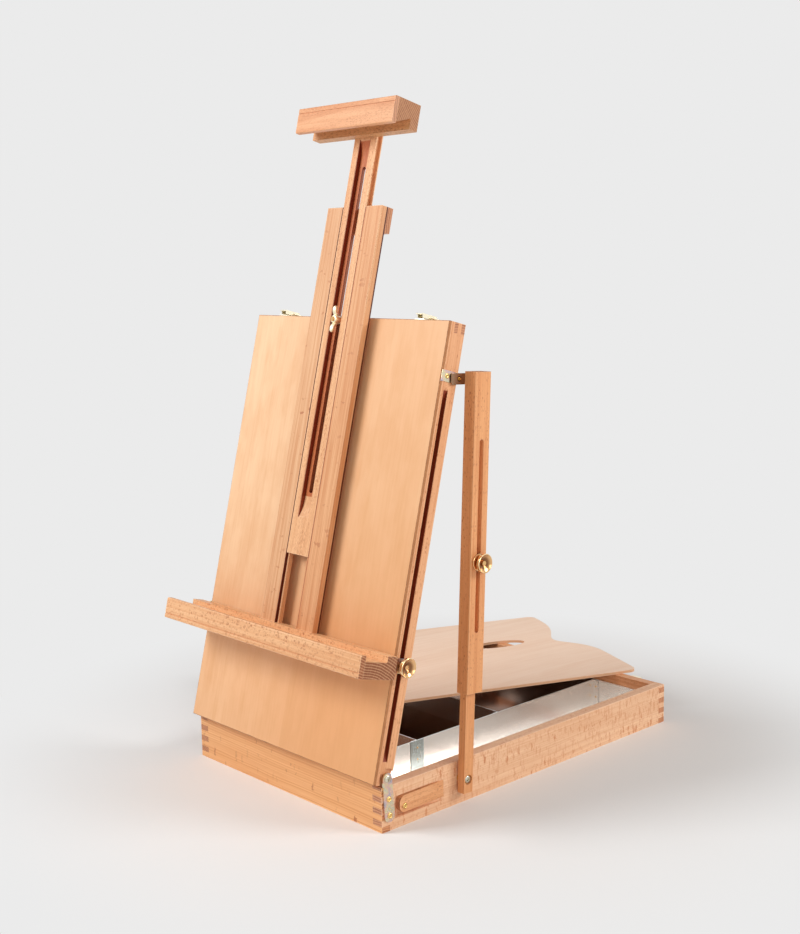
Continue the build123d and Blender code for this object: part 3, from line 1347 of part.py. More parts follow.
# ---------------------------------------------------------------- keepers
KEEPER_TOP = RIM - KEEPER_DROP
with BuildPart() as latch_keepers:
    for keeper_side in (-1, 1):
        keeper_x = keeper_side * LATCH_X
        hook_out = HALF_LENGTH + LATCH_SHEET + KEEPER_HOOK
        origin = (keeper_x - LATCH_WIDTH / 2, 0, 0)
        with BuildSketch(Plane(origin=origin, x_dir=(0, 1, 0), z_dir=(1, 0, 0))):
            with BuildLine():
                Polyline(
                    (HALF_LENGTH, KEEPER_TOP - KEEPER_HEIGHT),
                    (HALF_LENGTH, KEEPER_TOP),
                    (hook_out + LATCH_SHEET, KEEPER_TOP),
                    (hook_out + LATCH_SHEET, KEEPER_TOP - KEEPER_HOOK),
                    (hook_out, KEEPER_TOP - KEEPER_HOOK),
                    (hook_out, KEEPER_TOP - LATCH_SHEET),
                    (HALF_LENGTH + LATCH_SHEET, KEEPER_TOP - LATCH_SHEET),
                    (HALF_LENGTH + LATCH_SHEET, KEEPER_TOP - KEEPER_HEIGHT),
                    close=True,
                )
            make_face()
        extrude(amount=LATCH_WIDTH)
        far_face = Plane(origin=(keeper_x, HALF_LENGTH, KEEPER_SCREW_Z), z_dir=(0, 1, 0))
        round_cut(far_face, RIVET_SHANK, LATCH_SHEET)
save(latch_keepers, "latch_keepers")

# ---------------------------------------------------------------- palette
along = radians(90 - PALETTE_TURN)
palette_plane = Plane(
    origin=(PALETTE_X, PALETTE_Y, RIM + PLAY),
    x_dir=(cos(along), sin(along), 0),
    z_dir=(0, 0, 1),
)
with BuildPart() as palette:
    with BuildSketch(palette_plane) as palette_outline:
        with BuildLine():
            Line((PALETTE_NEAR, PALETTE_WIDTH), (PALETTE_NEAR, 0))
            Line((PALETTE_NEAR, 0), (PALETTE_FAR, 0))
            Line((PALETTE_FAR, 0), (PALETTE_FAR, PALETTE_STRAIGHT))
            waist = (PALETTE_WAIST, PALETTE_WAIST_AT)
            horn = (PALETTE_HORN, PALETTE_WIDTH - 3 * PALETTE_CORNER)
            Spline(
                (PALETTE_FAR, PALETTE_STRAIGHT),
                waist,
                horn,
                tangents=[(0, 1), (0, 1)],
            )
            Line(horn, (PALETTE_HORN, PALETTE_WIDTH))
            Line((PALETTE_HORN, PALETTE_WIDTH), (PALETTE_NEAR, PALETTE_WIDTH))
        make_face()
        outer = palette_outline.vertices()
        low_side = outer.group_by(Axis.Y)[0]
        high_side = outer.group_by(Axis.Y)[-1]
        fillet(low_side + high_side, PALETTE_CORNER)
        with Locations((THUMB_HOLE_ALONG, THUMB_HOLE_ACROSS)):
            Ellipse(THUMB_HOLE_LENGTH / 2, THUMB_HOLE_WIDTH / 2, mode=Mode.SUBTRACT)
    extrude(amount=PALETTE_PLY)
save(palette, "palette")

# ---------------------------------------------------------------- carrying handle
HANDLE_Y = HALF_LENGTH + HANDLE_OUT
with BuildPart() as handle_brackets:
    for bracket_side in (-1, 1):
        ear_x = bracket_side * EAR_INNER
        plate_low = HANDLE_Z - HANDLE_BASE * 0.8
        with BuildSketch(Plane(origin=(0, HALF_LENGTH, 0), x_dir=(-1, 0, 0), z_dir=(0, 1, 0))):
            plate_x = -bracket_side * (EAR_INNER + HANDLE_BASE * 0.35)
            with Locations((plate_x, plate_low + HANDLE_BASE / 2)):
                RectangleRounded(HANDLE_BASE * 0.7, HANDLE_BASE, 2 * EDGE_ROUND)
            with Locations((-bracket_side * HANDLE_SCREW_X, HANDLE_SCREW_Z)):
                Circle(RIVET_SHANK, mode=Mode.SUBTRACT)
        extrude(amount=HANDLE_BASE_SHEET)
        ear_start = min(ear_x, ear_x + bracket_side * HANDLE_BASE_SHEET)
        with BuildSketch(Plane(origin=(ear_start, 0, 0), x_dir=(0, 1, 0), z_dir=(1, 0, 0))):
            with Locations((HANDLE_Y, HANDLE_Z)):
                Circle(2.2 * HANDLE_PIN)
            with Locations((HALF_LENGTH + HANDLE_OUT / 2, HANDLE_Z)):
                Rectangle(HANDLE_OUT, 4.4 * HANDLE_PIN)
        extrude(amount=HANDLE_BASE_SHEET)
        pin_start = HANDLE_HALF - HANDLE_THICK
        pin_low = min(bracket_side * pin_start, bracket_side * EAR_INNER)
        with BuildSketch(Plane(origin=(pin_low, HANDLE_Y, HANDLE_Z), z_dir=ACROSS)):
            Circle(HANDLE_PIN)
        extrude(amount=EAR_INNER - pin_start)
save(handle_brackets, "handle_brackets")

with BuildPart() as far_wall_screws:
    # One in each latch keeper and in each handle bracket
    for keeper_side in (-1, 1):
        spot = (keeper_side * LATCH_X, HALF_LENGTH + LATCH_SHEET, KEEPER_SCREW_Z)
        fastener(
            Plane(origin=spot, z_dir=(0, 1, 0)),
            RIVET_HEAD,
            RIVET_HEIGHT,
            RIVET_SHANK,
            LATCH_SHEET + RIVET_DEPTH,
        )
    for bracket_side in (-1, 1):
        spot = (bracket_side * HANDLE_SCREW_X, HALF_LENGTH + HANDLE_BASE_SHEET, HANDLE_SCREW_Z)
        fastener(
            Plane(origin=spot, z_dir=(0, 1, 0)),
            RIVET_HEAD,
            RIVET_HEIGHT,
            RIVET_SHANK,
            HANDLE_BASE_SHEET + RIVET_DEPTH,
        )
save(far_wall_screws, "far_wall_screws")

with BuildPart() as handle_grip:
    grip_outer = EAR_INNER - PLAY
    grip_inner = HANDLE_HALF - HANDLE_THICK
    grip_back = HANDLE_Y - HANDLE_THICK / 2
    with BuildSketch(Plane(origin=(0, grip_back, HANDLE_Z), x_dir=(-1, 0, 0), z_dir=(0, 1, 0))) as grip:
        with Locations((0, (HANDLE_EYE - HANDLE_DROP - HANDLE_THICK) / 2)):
            Rectangle(2 * grip_outer, HANDLE_EYE + HANDLE_DROP + HANDLE_THICK)
        with Locations((0, (HANDLE_EYE - HANDLE_DROP + HANDLE_THICK) / 2)):
            Rectangle(2 * grip_inner, HANDLE_EYE + HANDLE_DROP - HANDLE_THICK, mode=Mode.SUBTRACT)
        fillet(grip.vertices(), HANDLE_THICK * 0.45)
    extrude(amount=HANDLE_THICK)
    for bracket_side in (-1, 1):
        pin_low = min(bracket_side * grip_inner, bracket_side * grip_outer)
        pin_plane = Plane(origin=(pin_low, HANDLE_Y, HANDLE_Z), z_dir=ACROSS)
        round_cut(pin_plane, HANDLE_PIN + PIN_PLAY, grip_outer - grip_inner)
save(handle_grip, "handle_grip")
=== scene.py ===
"""Looks of a table sketch-box easel: beech, veneered ply, brass, zinc and bright sheet."""

import json
from math import copysign, cos, pi, radians, sin

import bmesh
import bpy
from mathutils import Matrix, Vector

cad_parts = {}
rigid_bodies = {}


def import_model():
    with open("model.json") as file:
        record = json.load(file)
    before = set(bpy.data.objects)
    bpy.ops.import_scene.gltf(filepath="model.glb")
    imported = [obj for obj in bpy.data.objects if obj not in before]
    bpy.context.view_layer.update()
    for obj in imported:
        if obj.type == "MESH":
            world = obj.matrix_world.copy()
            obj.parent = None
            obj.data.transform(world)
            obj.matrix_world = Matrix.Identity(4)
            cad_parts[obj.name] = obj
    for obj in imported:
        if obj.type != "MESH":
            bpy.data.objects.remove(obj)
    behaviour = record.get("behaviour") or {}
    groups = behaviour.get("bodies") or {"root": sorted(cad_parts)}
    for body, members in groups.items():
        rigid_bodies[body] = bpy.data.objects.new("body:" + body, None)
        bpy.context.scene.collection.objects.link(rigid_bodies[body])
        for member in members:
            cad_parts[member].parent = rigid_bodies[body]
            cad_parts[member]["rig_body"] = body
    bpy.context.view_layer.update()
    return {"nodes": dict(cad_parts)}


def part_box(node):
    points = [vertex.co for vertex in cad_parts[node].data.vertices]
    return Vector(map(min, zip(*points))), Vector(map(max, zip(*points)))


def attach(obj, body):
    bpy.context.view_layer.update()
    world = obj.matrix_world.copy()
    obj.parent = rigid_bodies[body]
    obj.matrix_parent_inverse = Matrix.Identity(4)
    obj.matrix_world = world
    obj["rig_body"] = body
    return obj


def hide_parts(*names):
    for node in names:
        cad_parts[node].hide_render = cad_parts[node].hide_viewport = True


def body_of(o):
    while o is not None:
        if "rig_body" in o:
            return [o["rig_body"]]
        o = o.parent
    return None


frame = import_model()
nodes = frame["nodes"]

RIGHT = Vector((1, 0, 0))
FAR = Vector((0, 1, 0))
UP = Vector((0, 0, 1))
# The lid's pivot line, and the directions up the lid and out of its face
PIVOT = Vector((0, -0.2685, 0.0662))
LID_TILT = radians(75.9)
UP_LID = Vector((0, cos(LID_TILT), sin(LID_TILT)))
OUT_LID = Vector((0, -sin(LID_TILT), cos(LID_TILT)))
STRUT_TILT = radians(87.067)
UP_STRUT = Vector((0, cos(STRUT_TILT), sin(STRUT_TILT)))
PALETTE_GRAIN = Vector((0.15, 0.99, 0))
UNTURNED = Matrix.Identity(3)
MM_IN_M = 1000
SAME_SPOT = 0.000002  # corners closer than this, in metres, are one


def srgb(red, green, blue):
    """Colour written as on a paint card (0 to 255), as the renderer wants it."""
    parts = [c / 255 for c in (red, green, blue)]
    return tuple(c / 12.92 if c < 0.04045 else ((c + 0.055) / 1.055) ** 2.4 for c in parts) + (1,)


# ---------------------------------------------------------------- node helpers


def feed(tree, socket, value):
    """Link a socket to another node's, or set its constant."""
    if isinstance(value, bpy.types.NodeSocket):
        tree.links.new(value, socket)
    else:
        socket.default_value = value


def add(tree, kind, inputs=None, **settings):
    """A shader node, its settings made and its inputs linked or set."""
    made = tree.nodes.new("ShaderNode" + kind)
    for key, value in settings.items():
        setattr(made, key, value)
    for key, value in (inputs or {}).items():
        feed(tree, made.inputs[key], value)
    return made


def sums(tree, operation, first, second=0.0, third=0.0, clamp=False):
    """Result of one arithmetic step."""
    inputs = {0: first, 1: second, 2: third}
    return add(tree, "Math", inputs, operation=operation, use_clamp=clamp).outputs[0]


def times(tree, first, second, clamp=False):
    """Product of two values."""
    return sums(tree, "MULTIPLY", first, second, clamp=clamp)


def plus(tree, first, second):
    """Sum of two values."""
    return sums(tree, "ADD", first, second)


def minus(tree, first, second):
    """Difference of two values."""
    return sums(tree, "SUBTRACT", first, second)


def linear(tree, value, slope, start, clamp=False):
    """Value times slope, plus start."""
    return sums(tree, "MULTIPLY_ADD", value, slope, start, clamp)


def vectors(tree, operation, first, second=(0, 0, 0)):
    """Result of one vector step."""
    return add(tree, "VectorMath", {0: first, 1: second}, operation=operation).outputs[0]


def length(tree, vector):
    """Length of a vector."""
    return add(tree, "VectorMath", {0: vector}, operation="LENGTH").outputs["Value"]


def split(tree, vector):
    """The three parts of a vector."""
    return add(tree, "SeparateXYZ", {0: vector}).outputs


def ease(tree, value, low, high):
    """0 below low, 1 above high, smooth between."""
    inputs = {"Value": value, "From Min": low, "From Max": high}
    return add(tree, "MapRange", inputs, interpolation_type="SMOOTHSTEP").outputs["Result"]


def blend(tree, amount, under, over, how="MIX"):
    """Colour over laid on colour under by amount."""
    made = add(tree, "Mix", data_type="RGBA", blend_type=how)
    for index, value in ((0, amount), (6, under), (7, over)):  # the sockets of a colour mix
        feed(tree, made.inputs[index], value)
    return made.outputs[2]


def tinted(tree, colour, tint):
    """Colour multiplied by a tint."""
    return blend(tree, 1.0, colour, tint, "MULTIPLY")


def cloud(tree, where, stretch, detail=2.0, rough=0.5):
    """Soft noise, stretch times a metre to one cell along each axis."""
    spot = vectors(tree, "MULTIPLY", where, stretch)
    inputs = {"Vector": spot, "Scale": 1.0, "Detail": detail, "Roughness": rough}
    return add(tree, "TexNoise", inputs).outputs


def wave(tree, where, scale):
    """Soft noise along one line."""
    inputs = {"W": where, "Scale": scale, "Detail": 1.0}
    return add(tree, "TexNoise", inputs, noise_dimensions="1D").outputs[0]


def shift(tree, noise, reach):
    """Noise colour as a shift to either side, reach wide."""
    return vectors(tree, "MULTIPLY", vectors(tree, "SUBTRACT", noise, (0.5, 0.5, 0.5)), reach)


def group(name, takes, gives):
    """Empty shader group: takes is {input: constant}, gives is {output: kind}."""
    tree = bpy.data.node_groups.new(name, "ShaderNodeTree")
    face = tree.interface
    for label, value in takes.items():
        kind = {3: "Vector", 4: "Color"}[len(value)] if isinstance(value, tuple) else "Float"
        made = face.new_socket(name=label, in_out="INPUT", socket_type="NodeSocket" + kind)
        made.default_value = value
    for label, kind in gives.items():
        face.new_socket(name=label, in_out="OUTPUT", socket_type="NodeSocket" + kind)
    return tree, tree.nodes.new("NodeGroupInput").outputs, tree.nodes.new("NodeGroupOutput")


def hand_out(tree, leaving, **results):
    """Link a group's results to its outputs."""
    for label, value in results.items():
        tree.links.new(value, leaving.inputs[label])


def place(tree, made, **inputs):
    """One shader group set into a material, with its own values."""
    used = tree.nodes.new("ShaderNodeGroup")
    used.node_tree = made
    for key, value in inputs.items():
        feed(tree, used.inputs[key.replace("_", " ")], value)
    return used.outputs


# ---------------------------------------------------------------- shader groups


def marks(tree, where, share, size):
    """Separate dashes, where counted in cells: only a share of the cells bears one."""
    cells = add(tree, "TexVoronoi", {"Vector": where, "Scale": 1.0, "Randomness": 1.0}).outputs
    chance = add(tree, "SeparateColor", {"Color": cells["Color"]}).outputs
    shape = minus(tree, 1.0, ease(tree, cells["Distance"], 0.6 * size, size))
    there = sums(tree, "LESS_THAN", chance[0], share)
    depth = linear(tree, chance[1], 0.6, 0.4)
    return times(tree, times(tree, shape, there), depth)


def build_beech():
    """Solid beech: rings round a heart, ray flecks that run out from it, streaks and dark ends."""
    tree, taken, leaving = group(
        "solid_beech",
        {
            "Vector": (0, 0, 0),
            "Normal": (0, 0, 1),
            "Heart": (0, 0, 0),
            "Pale": srgb(240, 188, 142),
            "Ring": srgb(216, 150, 102),
            "Ray": srgb(170, 98, 60),
            "End": srgb(172, 108, 74),
            "Ring Width": 0.003,
            "Ring Depth": 0.5,
            "Streaks": 0.5,
            "Flecks": 0.4,
            "Fleck Size": (0.008, 0.0021, 0.02),
        },
        {"Color": "Color", "Height": "Float", "Roughness": "Float", "Ends": "Float"},
    )
    spot, pale, ring, end = taken["Vector"], taken["Pale"], taken["Ring"], taken["End"]

    # Rings, bent by two sizes of noise, pale early wood first and the dark line last
    wide = shift(tree, cloud(tree, spot, (2.2, 11, 11), 2.0)["Color"], (0.0, 0.013, 0.013))
    small = shift(tree, cloud(tree, spot, (16, 70, 70), 1.0)["Color"], (0.0, 0.0016, 0.0016))
    bent = vectors(tree, "ADD", vectors(tree, "SUBTRACT", spot, taken["Heart"]),
                   vectors(tree, "ADD", wide, small))
    parts = split(tree, bent)
    out = sums(tree, "SQRT", plus(tree, times(tree, parts[1], parts[1]),
                                  times(tree, parts[2], parts[2])))
    count = sums(tree, "DIVIDE", out, taken["Ring Width"])
    part = sums(tree, "FRACT", count)
    late = times(tree, ease(tree, part, 0.30, 0.88), minus(tree, 1.0, ease(tree, part, 0.90, 1.0)))
    late = times(tree, late, ease(tree, wave(tree, count, 0.55), 0.25, 0.7))
    lines = times(tree, late, taken["Ring Depth"], clamp=True)

    # Long grain: streaks, fibres and slow changes of tone
    fibre = cloud(tree, spot, (45, 1500, 1500), 2.0, 0.6)[0]
    streak = cloud(tree, bent, (5, 330, 330), 3.0, 0.62)[0]
    tone = cloud(tree, spot, (3.5, 26, 26), 3.0, 0.55)[0]
    body = blend(tree, lines, pale, ring)
    body = blend(tree, times(tree, ease(tree, streak, 0.36, 0.68), taken["Streaks"]), body, ring)
    body = blend(tree, times(tree, ease(tree, fibre, 0.45, 0.75), 0.22), body, ring)
    body = blend(tree, times(tree, ease(tree, tone, 0.38, 0.72), 0.30), body, ring)

    # Ray flecks, laid out along the grain, round the heart and out from it
    turn = times(tree, sums(tree, "ARCTAN2", parts[2], parts[1]), 0.1)
    sheet = add(tree, "CombineXYZ", {0: parts[0], 1: turn, 2: out}).outputs[0]
    sheet = vectors(tree, "DIVIDE", sheet, taken["Fleck Size"])
    ragged = shift(tree, cloud(tree, sheet, (1.3, 1.3, 5.0), 1.0)["Color"], (1.0, 0.9, 0.4))
    sheet = vectors(tree, "ADD", sheet, ragged)
    large = marks(tree, sheet, taken["Flecks"], 0.46)
    finer = marks(tree, vectors(tree, "MULTIPLY", sheet, (1.9, 1.9, 2.2)), taken["Flecks"], 0.48)
    crowd = ease(tree, cloud(tree, spot, (9, 45, 45), 2.0)[0], 0.36, 0.62)
    rays = times(tree, sums(tree, "MAXIMUM", large, times(tree, finer, 0.7)),
                 linear(tree, crowd, 0.5, 0.4), clamp=True)
    body = blend(tree, rays, body, taken["Ray"])

    # End grain: rings, spokes and pores on what was cut across
    ends = ease(tree, sums(tree, "ABSOLUTE", split(tree, taken["Normal"])[0]), 0.55, 0.9)
    pores = ease(tree, cloud(tree, spot, (900, 1400, 1400), 1.0)[0], 0.48, 0.66)
    early = times(tree, ease(tree, part, 0.0, 0.10), minus(tree, 1.0, ease(tree, part, 0.2, 0.5)))
    spoke = ease(tree, wave(tree, times(tree, turn, 9000), 0.1), 0.5, 0.7)
    cut = blend(tree, times(tree, late, 0.9, clamp=True), end,
                tinted(tree, end, (0.62, 0.50, 0.46, 1)))
    cut = blend(tree, times(tree, early, 0.38), cut, pale)
    cut = blend(tree, times(tree, spoke, 0.18), cut, pale)
    cut = blend(tree, times(tree, pores, 0.25), cut, tinted(tree, end, (0.45, 0.36, 0.32, 1)))
    body = blend(tree, ends, body, cut)

    height = linear(tree, fibre, 0.5, times(tree, streak, 0.4))
    height = minus(tree, height, times(tree, rays, 0.4))
    height = minus(tree, height, times(tree, times(tree, pores, ends), 0.6))
    gloss = linear(tree, fibre, 0.16, 0.36)
    gloss = plus(tree, gloss, times(tree, ends, 0.2))
    hand_out(tree, leaving, Color=body, Height=height, Roughness=gloss, Ends=ends)
    return tree


def build_veneer():
    """Peeled veneer on ply: mottled long figure, fine pores, and the plies showing at the edge."""
    tree, taken, leaving = group(
        "peeled_veneer",
        {
            "Vector": (0, 0, 0),
            "Normal": (0, 0, 1),
            "Pale": srgb(248, 206, 158),
            "Figure": srgb(232, 172, 116),
            "Core": srgb(206, 150, 96),
            "Ply": 0.00135,
            "Figure Depth": 0.6,
            "Mottle": 0.5,
        },
        {"Color": "Color", "Height": "Float", "Roughness": "Float"},
    )
    spot = taken["Vector"]
    wander = shift(tree, cloud(tree, spot, (1.6, 9, 9), 2.0)["Color"], (0, 0.05, 0))
    bent = vectors(tree, "ADD", spot, wander)
    figure = cloud(tree, bent, (2.6, 46, 3), 4.0, 0.6)[0]
    wide = cloud(tree, spot, (1.5, 9, 3), 1.0)[0]
    fleck = cloud(tree, bent, (60, 900, 50), 2.0, 0.6)[0]
    lines = cloud(tree, bent, (5, 300, 20), 3.0, 0.6)[0]
    mottle = cloud(tree, bent, (14, 34, 10), 3.0, 0.6)[0]
    amount = times(tree, ease(tree, figure, 0.36, 0.68), 0.34)
    for noise, low, high, share in ((wide, 0.35, 0.7, 0.30), (fleck, 0.5, 0.75, 0.20),
                                    (lines, 0.40, 0.66, 0.30),
                                    (mottle, 0.36, 0.66, taken["Mottle"])):
        amount = plus(tree, amount, times(tree, ease(tree, noise, low, high), share))
    body = blend(tree, times(tree, amount, taken["Figure Depth"], clamp=True),
                 taken["Pale"], taken["Figure"])

    # Plies, one light and one dark, wherever the skin doesn't face
    pair = times(tree, taken["Ply"], 2.0)
    layer = sums(tree, "FRACT", sums(tree, "DIVIDE", split(tree, spot)[2], pair))
    layer = ease(tree, layer, 0.47, 0.53)
    facing = sums(tree, "ABSOLUTE", split(tree, taken["Normal"])[2])
    edge = minus(tree, 1.0, ease(tree, facing, 0.4, 0.8))
    plies = blend(tree, linear(tree, fleck, 0.5, times(tree, layer, 0.6)),
                  taken["Figure"], taken["Core"])
    body = blend(tree, edge, body, plies)
    step = times(tree, edge, times(tree, layer, 0.4))
    height = linear(tree, fleck, 0.5, step)
    gloss = linear(tree, figure, 0.14, linear(tree, edge, 0.25, 0.32))
    hand_out(tree, leaving, Color=body, Height=height, Roughness=gloss)
    return tree


def inset(tree, taken):
    """Along each axis, how far a spot lies inside the corners Low and High."""
    below = vectors(tree, "SUBTRACT", taken["Vector"], taken["Low"])
    above = vectors(tree, "SUBTRACT", taken["High"], taken["Vector"])
    return split(tree, vectors(tree, "MINIMUM", below, above))


def build_edge_wear_and_highlight():
    """Mask of a piece's outer edges, broken up as handling leaves them; beech uses it for a painted
    highlight with wear, veneer for its darker edge.
    """
    tree, taken, leaving = group(
        "edge_wear_and_highlight",
        {
            "Vector": (0, 0, 0),
            "Low": (0, 0, 0),
            "High": (1, 1, 1),
            "Width": 0.0012,
        },
        {"Mask": "Float"},
    )
    near = inset(tree, taken)
    smaller = sums(tree, "MINIMUM", near[0], near[1])
    larger = sums(tree, "MAXIMUM", near[0], near[1])
    middle = sums(tree, "MAXIMUM", smaller, sums(tree, "MINIMUM", larger, near[2]))
    patchy = cloud(tree, taken["Vector"], (120, 120, 120), 3.0, 0.6)[0]
    reach = times(tree, taken["Width"], linear(tree, patchy, 1.6, 0.2))
    mask = minus(tree, 1.0, ease(tree, sums(tree, "DIVIDE", middle, reach), 0.3, 1.0))
    hand_out(tree, leaving, Mask=mask)
    return tree


def build_hollow():
    """Mask of what lies inside a groove or slot, given by its corners, where shade is painted."""
    tree, taken, leaving = group(
        "inside_hollow",
        {
            "Vector": (0, 0, 0),
            "Low": (0, 0, 0),
            "High": (0, 0, 0),
            "Soft": 0.0007,
        },
        {"Mask": "Float"},
    )
    near = inset(tree, taken)
    least = sums(tree, "MINIMUM", sums(tree, "MINIMUM", near[0], near[1]), near[2])
    depth = sums(tree, "DIVIDE", least, taken["Soft"])
    hand_out(tree, leaving, Mask=ease(tree, depth, 0.0, 1.0))
    return tree


def build_metal_skin():
    """Rolled or turned metal: streaks one way, cloudy tarnish and small specks."""
    tree, taken, leaving = group(
        "metal_skin",
        {
            "Vector": (0, 0, 0),
            "Bright": (0.8, 0.8, 0.8, 1),
            "Tarnish": (0.5, 0.5, 0.5, 1),
            "Streak": (20, 900, 900),
            "Tarnish Amount": 0.4,
            "Polish": 0.2,
            "Uneven": 0.1,
            "Specks": 0.12,
        },
        {"Color": "Color", "Height": "Float", "Roughness": "Float"},
    )
    spot = taken["Vector"]
    streak = cloud(tree, spot, taken["Streak"], 3.0, 0.6)[0]
    tarnish = cloud(tree, spot, (28, 28, 28), 4.0, 0.62)[0]
    speck = cloud(tree, spot, (420, 420, 420), 2.0, 0.5)[0]
    amount = times(tree, ease(tree, tarnish, 0.42, 0.72), taken["Tarnish Amount"])
    dots = times(tree, ease(tree, speck, 0.60, 0.75), taken["Specks"])
    amount = plus(tree, amount, dots)
    body = blend(tree, amount, taken["Bright"], taken["Tarnish"])
    body = blend(tree, times(tree, ease(tree, streak, 0.5, 0.8), 0.25), body, taken["Tarnish"])
    change = times(tree, minus(tree, streak, 0.4), taken["Uneven"])
    rough = plus(tree, plus(tree, taken["Polish"], change), times(tree, amount, 0.2))
    height = linear(tree, speck, 0.3, streak)
    hand_out(tree, leaving, Color=body, Height=height, Roughness=rough)
    return tree


BEECH = build_beech()
VENEER = build_veneer()
EDGE_WEAR_AND_HIGHLIGHT = build_edge_wear_and_highlight()
HOLLOW = build_hollow()
METAL_SKIN = build_metal_skin()


# ---------------------------------------------------------------- materials


def axes_of(along, face):
    """Turn that puts a piece's grain along x and its face's normal along z."""
    first = along.normalized()
    third = (face - first * face.dot(first)).normalized()
    return Matrix((first, third.cross(first), third))


def ends_of(spots):
    """Lowest and highest corner of the box round some spots."""
    return [Vector([pick(s[i] for s in spots) for i in range(3)]) for pick in (min, max)]


def box_in(piece, turn):
    """Lowest and highest corner of a piece, in its own axes."""
    return ends_of([turn @ v.co for v in piece.data.vertices])


def own_axes(tree, turn, source, kind):
    """The object's spots (POINT) or normals (VECTOR), turned into a piece's own axes."""
    where = add(tree, "TexCoord").outputs[source]
    inputs = {"Vector": where, "Rotation": turn.to_euler("XYZ")}
    return add(tree, "Mapping", inputs, vector_type=kind).outputs[0]


def empty_tree(owner):
    """A material's or world's node tree, with nothing in it."""
    owner.use_nodes = True
    owner.node_tree.nodes.clear()
    return owner.node_tree


def fresh_material(name, turn=UNTURNED):
    """Empty material, its tree, and the spot in a piece's own axes."""
    made = bpy.data.materials.new(name)
    tree = empty_tree(made)
    return made, tree, own_axes(tree, turn, "Object", "POINT")


def dress(made, colour, rough, height, strength, distance, **constants):
    """Finish a material with a Principled shader, its bump and its constants."""
    tree = made.node_tree
    bump = add(tree, "Bump", {"Height": height, "Strength": strength, "Distance": distance})
    inputs = {"Base Color": colour, "Roughness": rough, "Normal": bump.outputs[0]}
    inputs.update({key.replace("_", " "): value for key, value in constants.items()})
    shader = add(tree, "BsdfPrincipled", inputs)
    add(tree, "OutputMaterial", {"Surface": shader.outputs[0]})
    return made


def bare_metal(made, slot, *looks):
    """Finish a material as metal, for the slot that its pieces go into."""
    made["slot"] = slot
    return dress(made, *looks, Metallic=1.0)


def give(made, piece):
    """Put one material on a whole object."""
    piece.data.materials.clear()
    piece.data.materials.append(made)
    for face in piece.data.polygons:
        face.material_index = 0


# How the log was sawn: the heart's offset from the piece's middle, and the size of a ray fleck
CUTS = {
    "flat": ((0.010, -0.070), (0.0050, 0.0013, 0.016)),
    "rift": ((-0.085, -0.085), (0.0050, 0.0013, 0.016)),
    "quarter": ((-0.160, 0.012), (0.0042, 0.0030, 0.020)),
    "edge": ((-0.110, 0.010), (0.0062, 0.0018, 0.020)),
}
WOOD_SHINE = 0.35


def painted_hollow_shade(tree, turn, spot, colour, hollow_shades):
    """Painted shade: colour tinted darker inside each hollow, given by two opposite corners and its
    tint.
    """
    for first, second, tint in hollow_shades:
        low, high = ends_of([turn @ first, turn @ second])
        inside = place(tree, HOLLOW, Vector=spot, Low=low, High=high)["Mask"]
        colour = blend(tree, inside, colour, tinted(tree, colour, srgb(*tint)))
    return colour


def beech(name, along, face, cut="flat", flecks=0.4, rings=0.5, ring=0.003, streaks=0.5,
          tone=(1, 1, 1), heart=None, hollow_shades=(), end=(196, 134, 100), ray=(182, 110, 70),
          fleck=None):
    """Beech on one CAD piece: grain along, face its broad side, cut how the log was sawn."""
    piece = nodes[name]
    turn = axes_of(along, face)
    low, high = box_in(piece, turn)
    middle = (low + high) / 2
    offset = heart or CUTS[cut][0]
    made, tree, spot = fresh_material("beech_" + name, turn)
    normal = own_axes(tree, turn, "Normal", "VECTOR")

    def toned(*card):
        """Colour in this log's tone."""
        return srgb(*(c * t for c, t in zip(card, tone)))

    wood = place(tree, BEECH, Vector=spot, Normal=normal, Pale=toned(242, 187, 138),
                 Ring=toned(214, 143, 92), Ray=srgb(*ray), End=srgb(*end),
                 Heart=(0, middle.y + offset[0], middle.z + offset[1]), Ring_Width=ring,
                 Ring_Depth=rings, Flecks=flecks, Streaks=streaks,
                 Fleck_Size=fleck or CUTS[cut][1])
    # Outer edges lighter: a painted highlight where eased edges catch the light, with wear
    edge = place(tree, EDGE_WEAR_AND_HIGHLIGHT, Vector=spot, Low=low, High=high)["Mask"]
    edge = times(tree, edge, linear(tree, wood["Ends"], -0.32, 0.4))
    colour = blend(tree, edge, wood["Color"], toned(250, 204, 160))
    rough = minus(tree, wood["Roughness"], times(tree, edge, 0.1))
    # Painted shade inside grooves, recesses and slots
    colour = painted_hollow_shade(tree, turn, spot, colour, hollow_shades)
    dress(made, colour, rough, wood["Height"], 0.3, 0.0003, Specular_IOR_Level=WOOD_SHINE)
    give(made, piece)


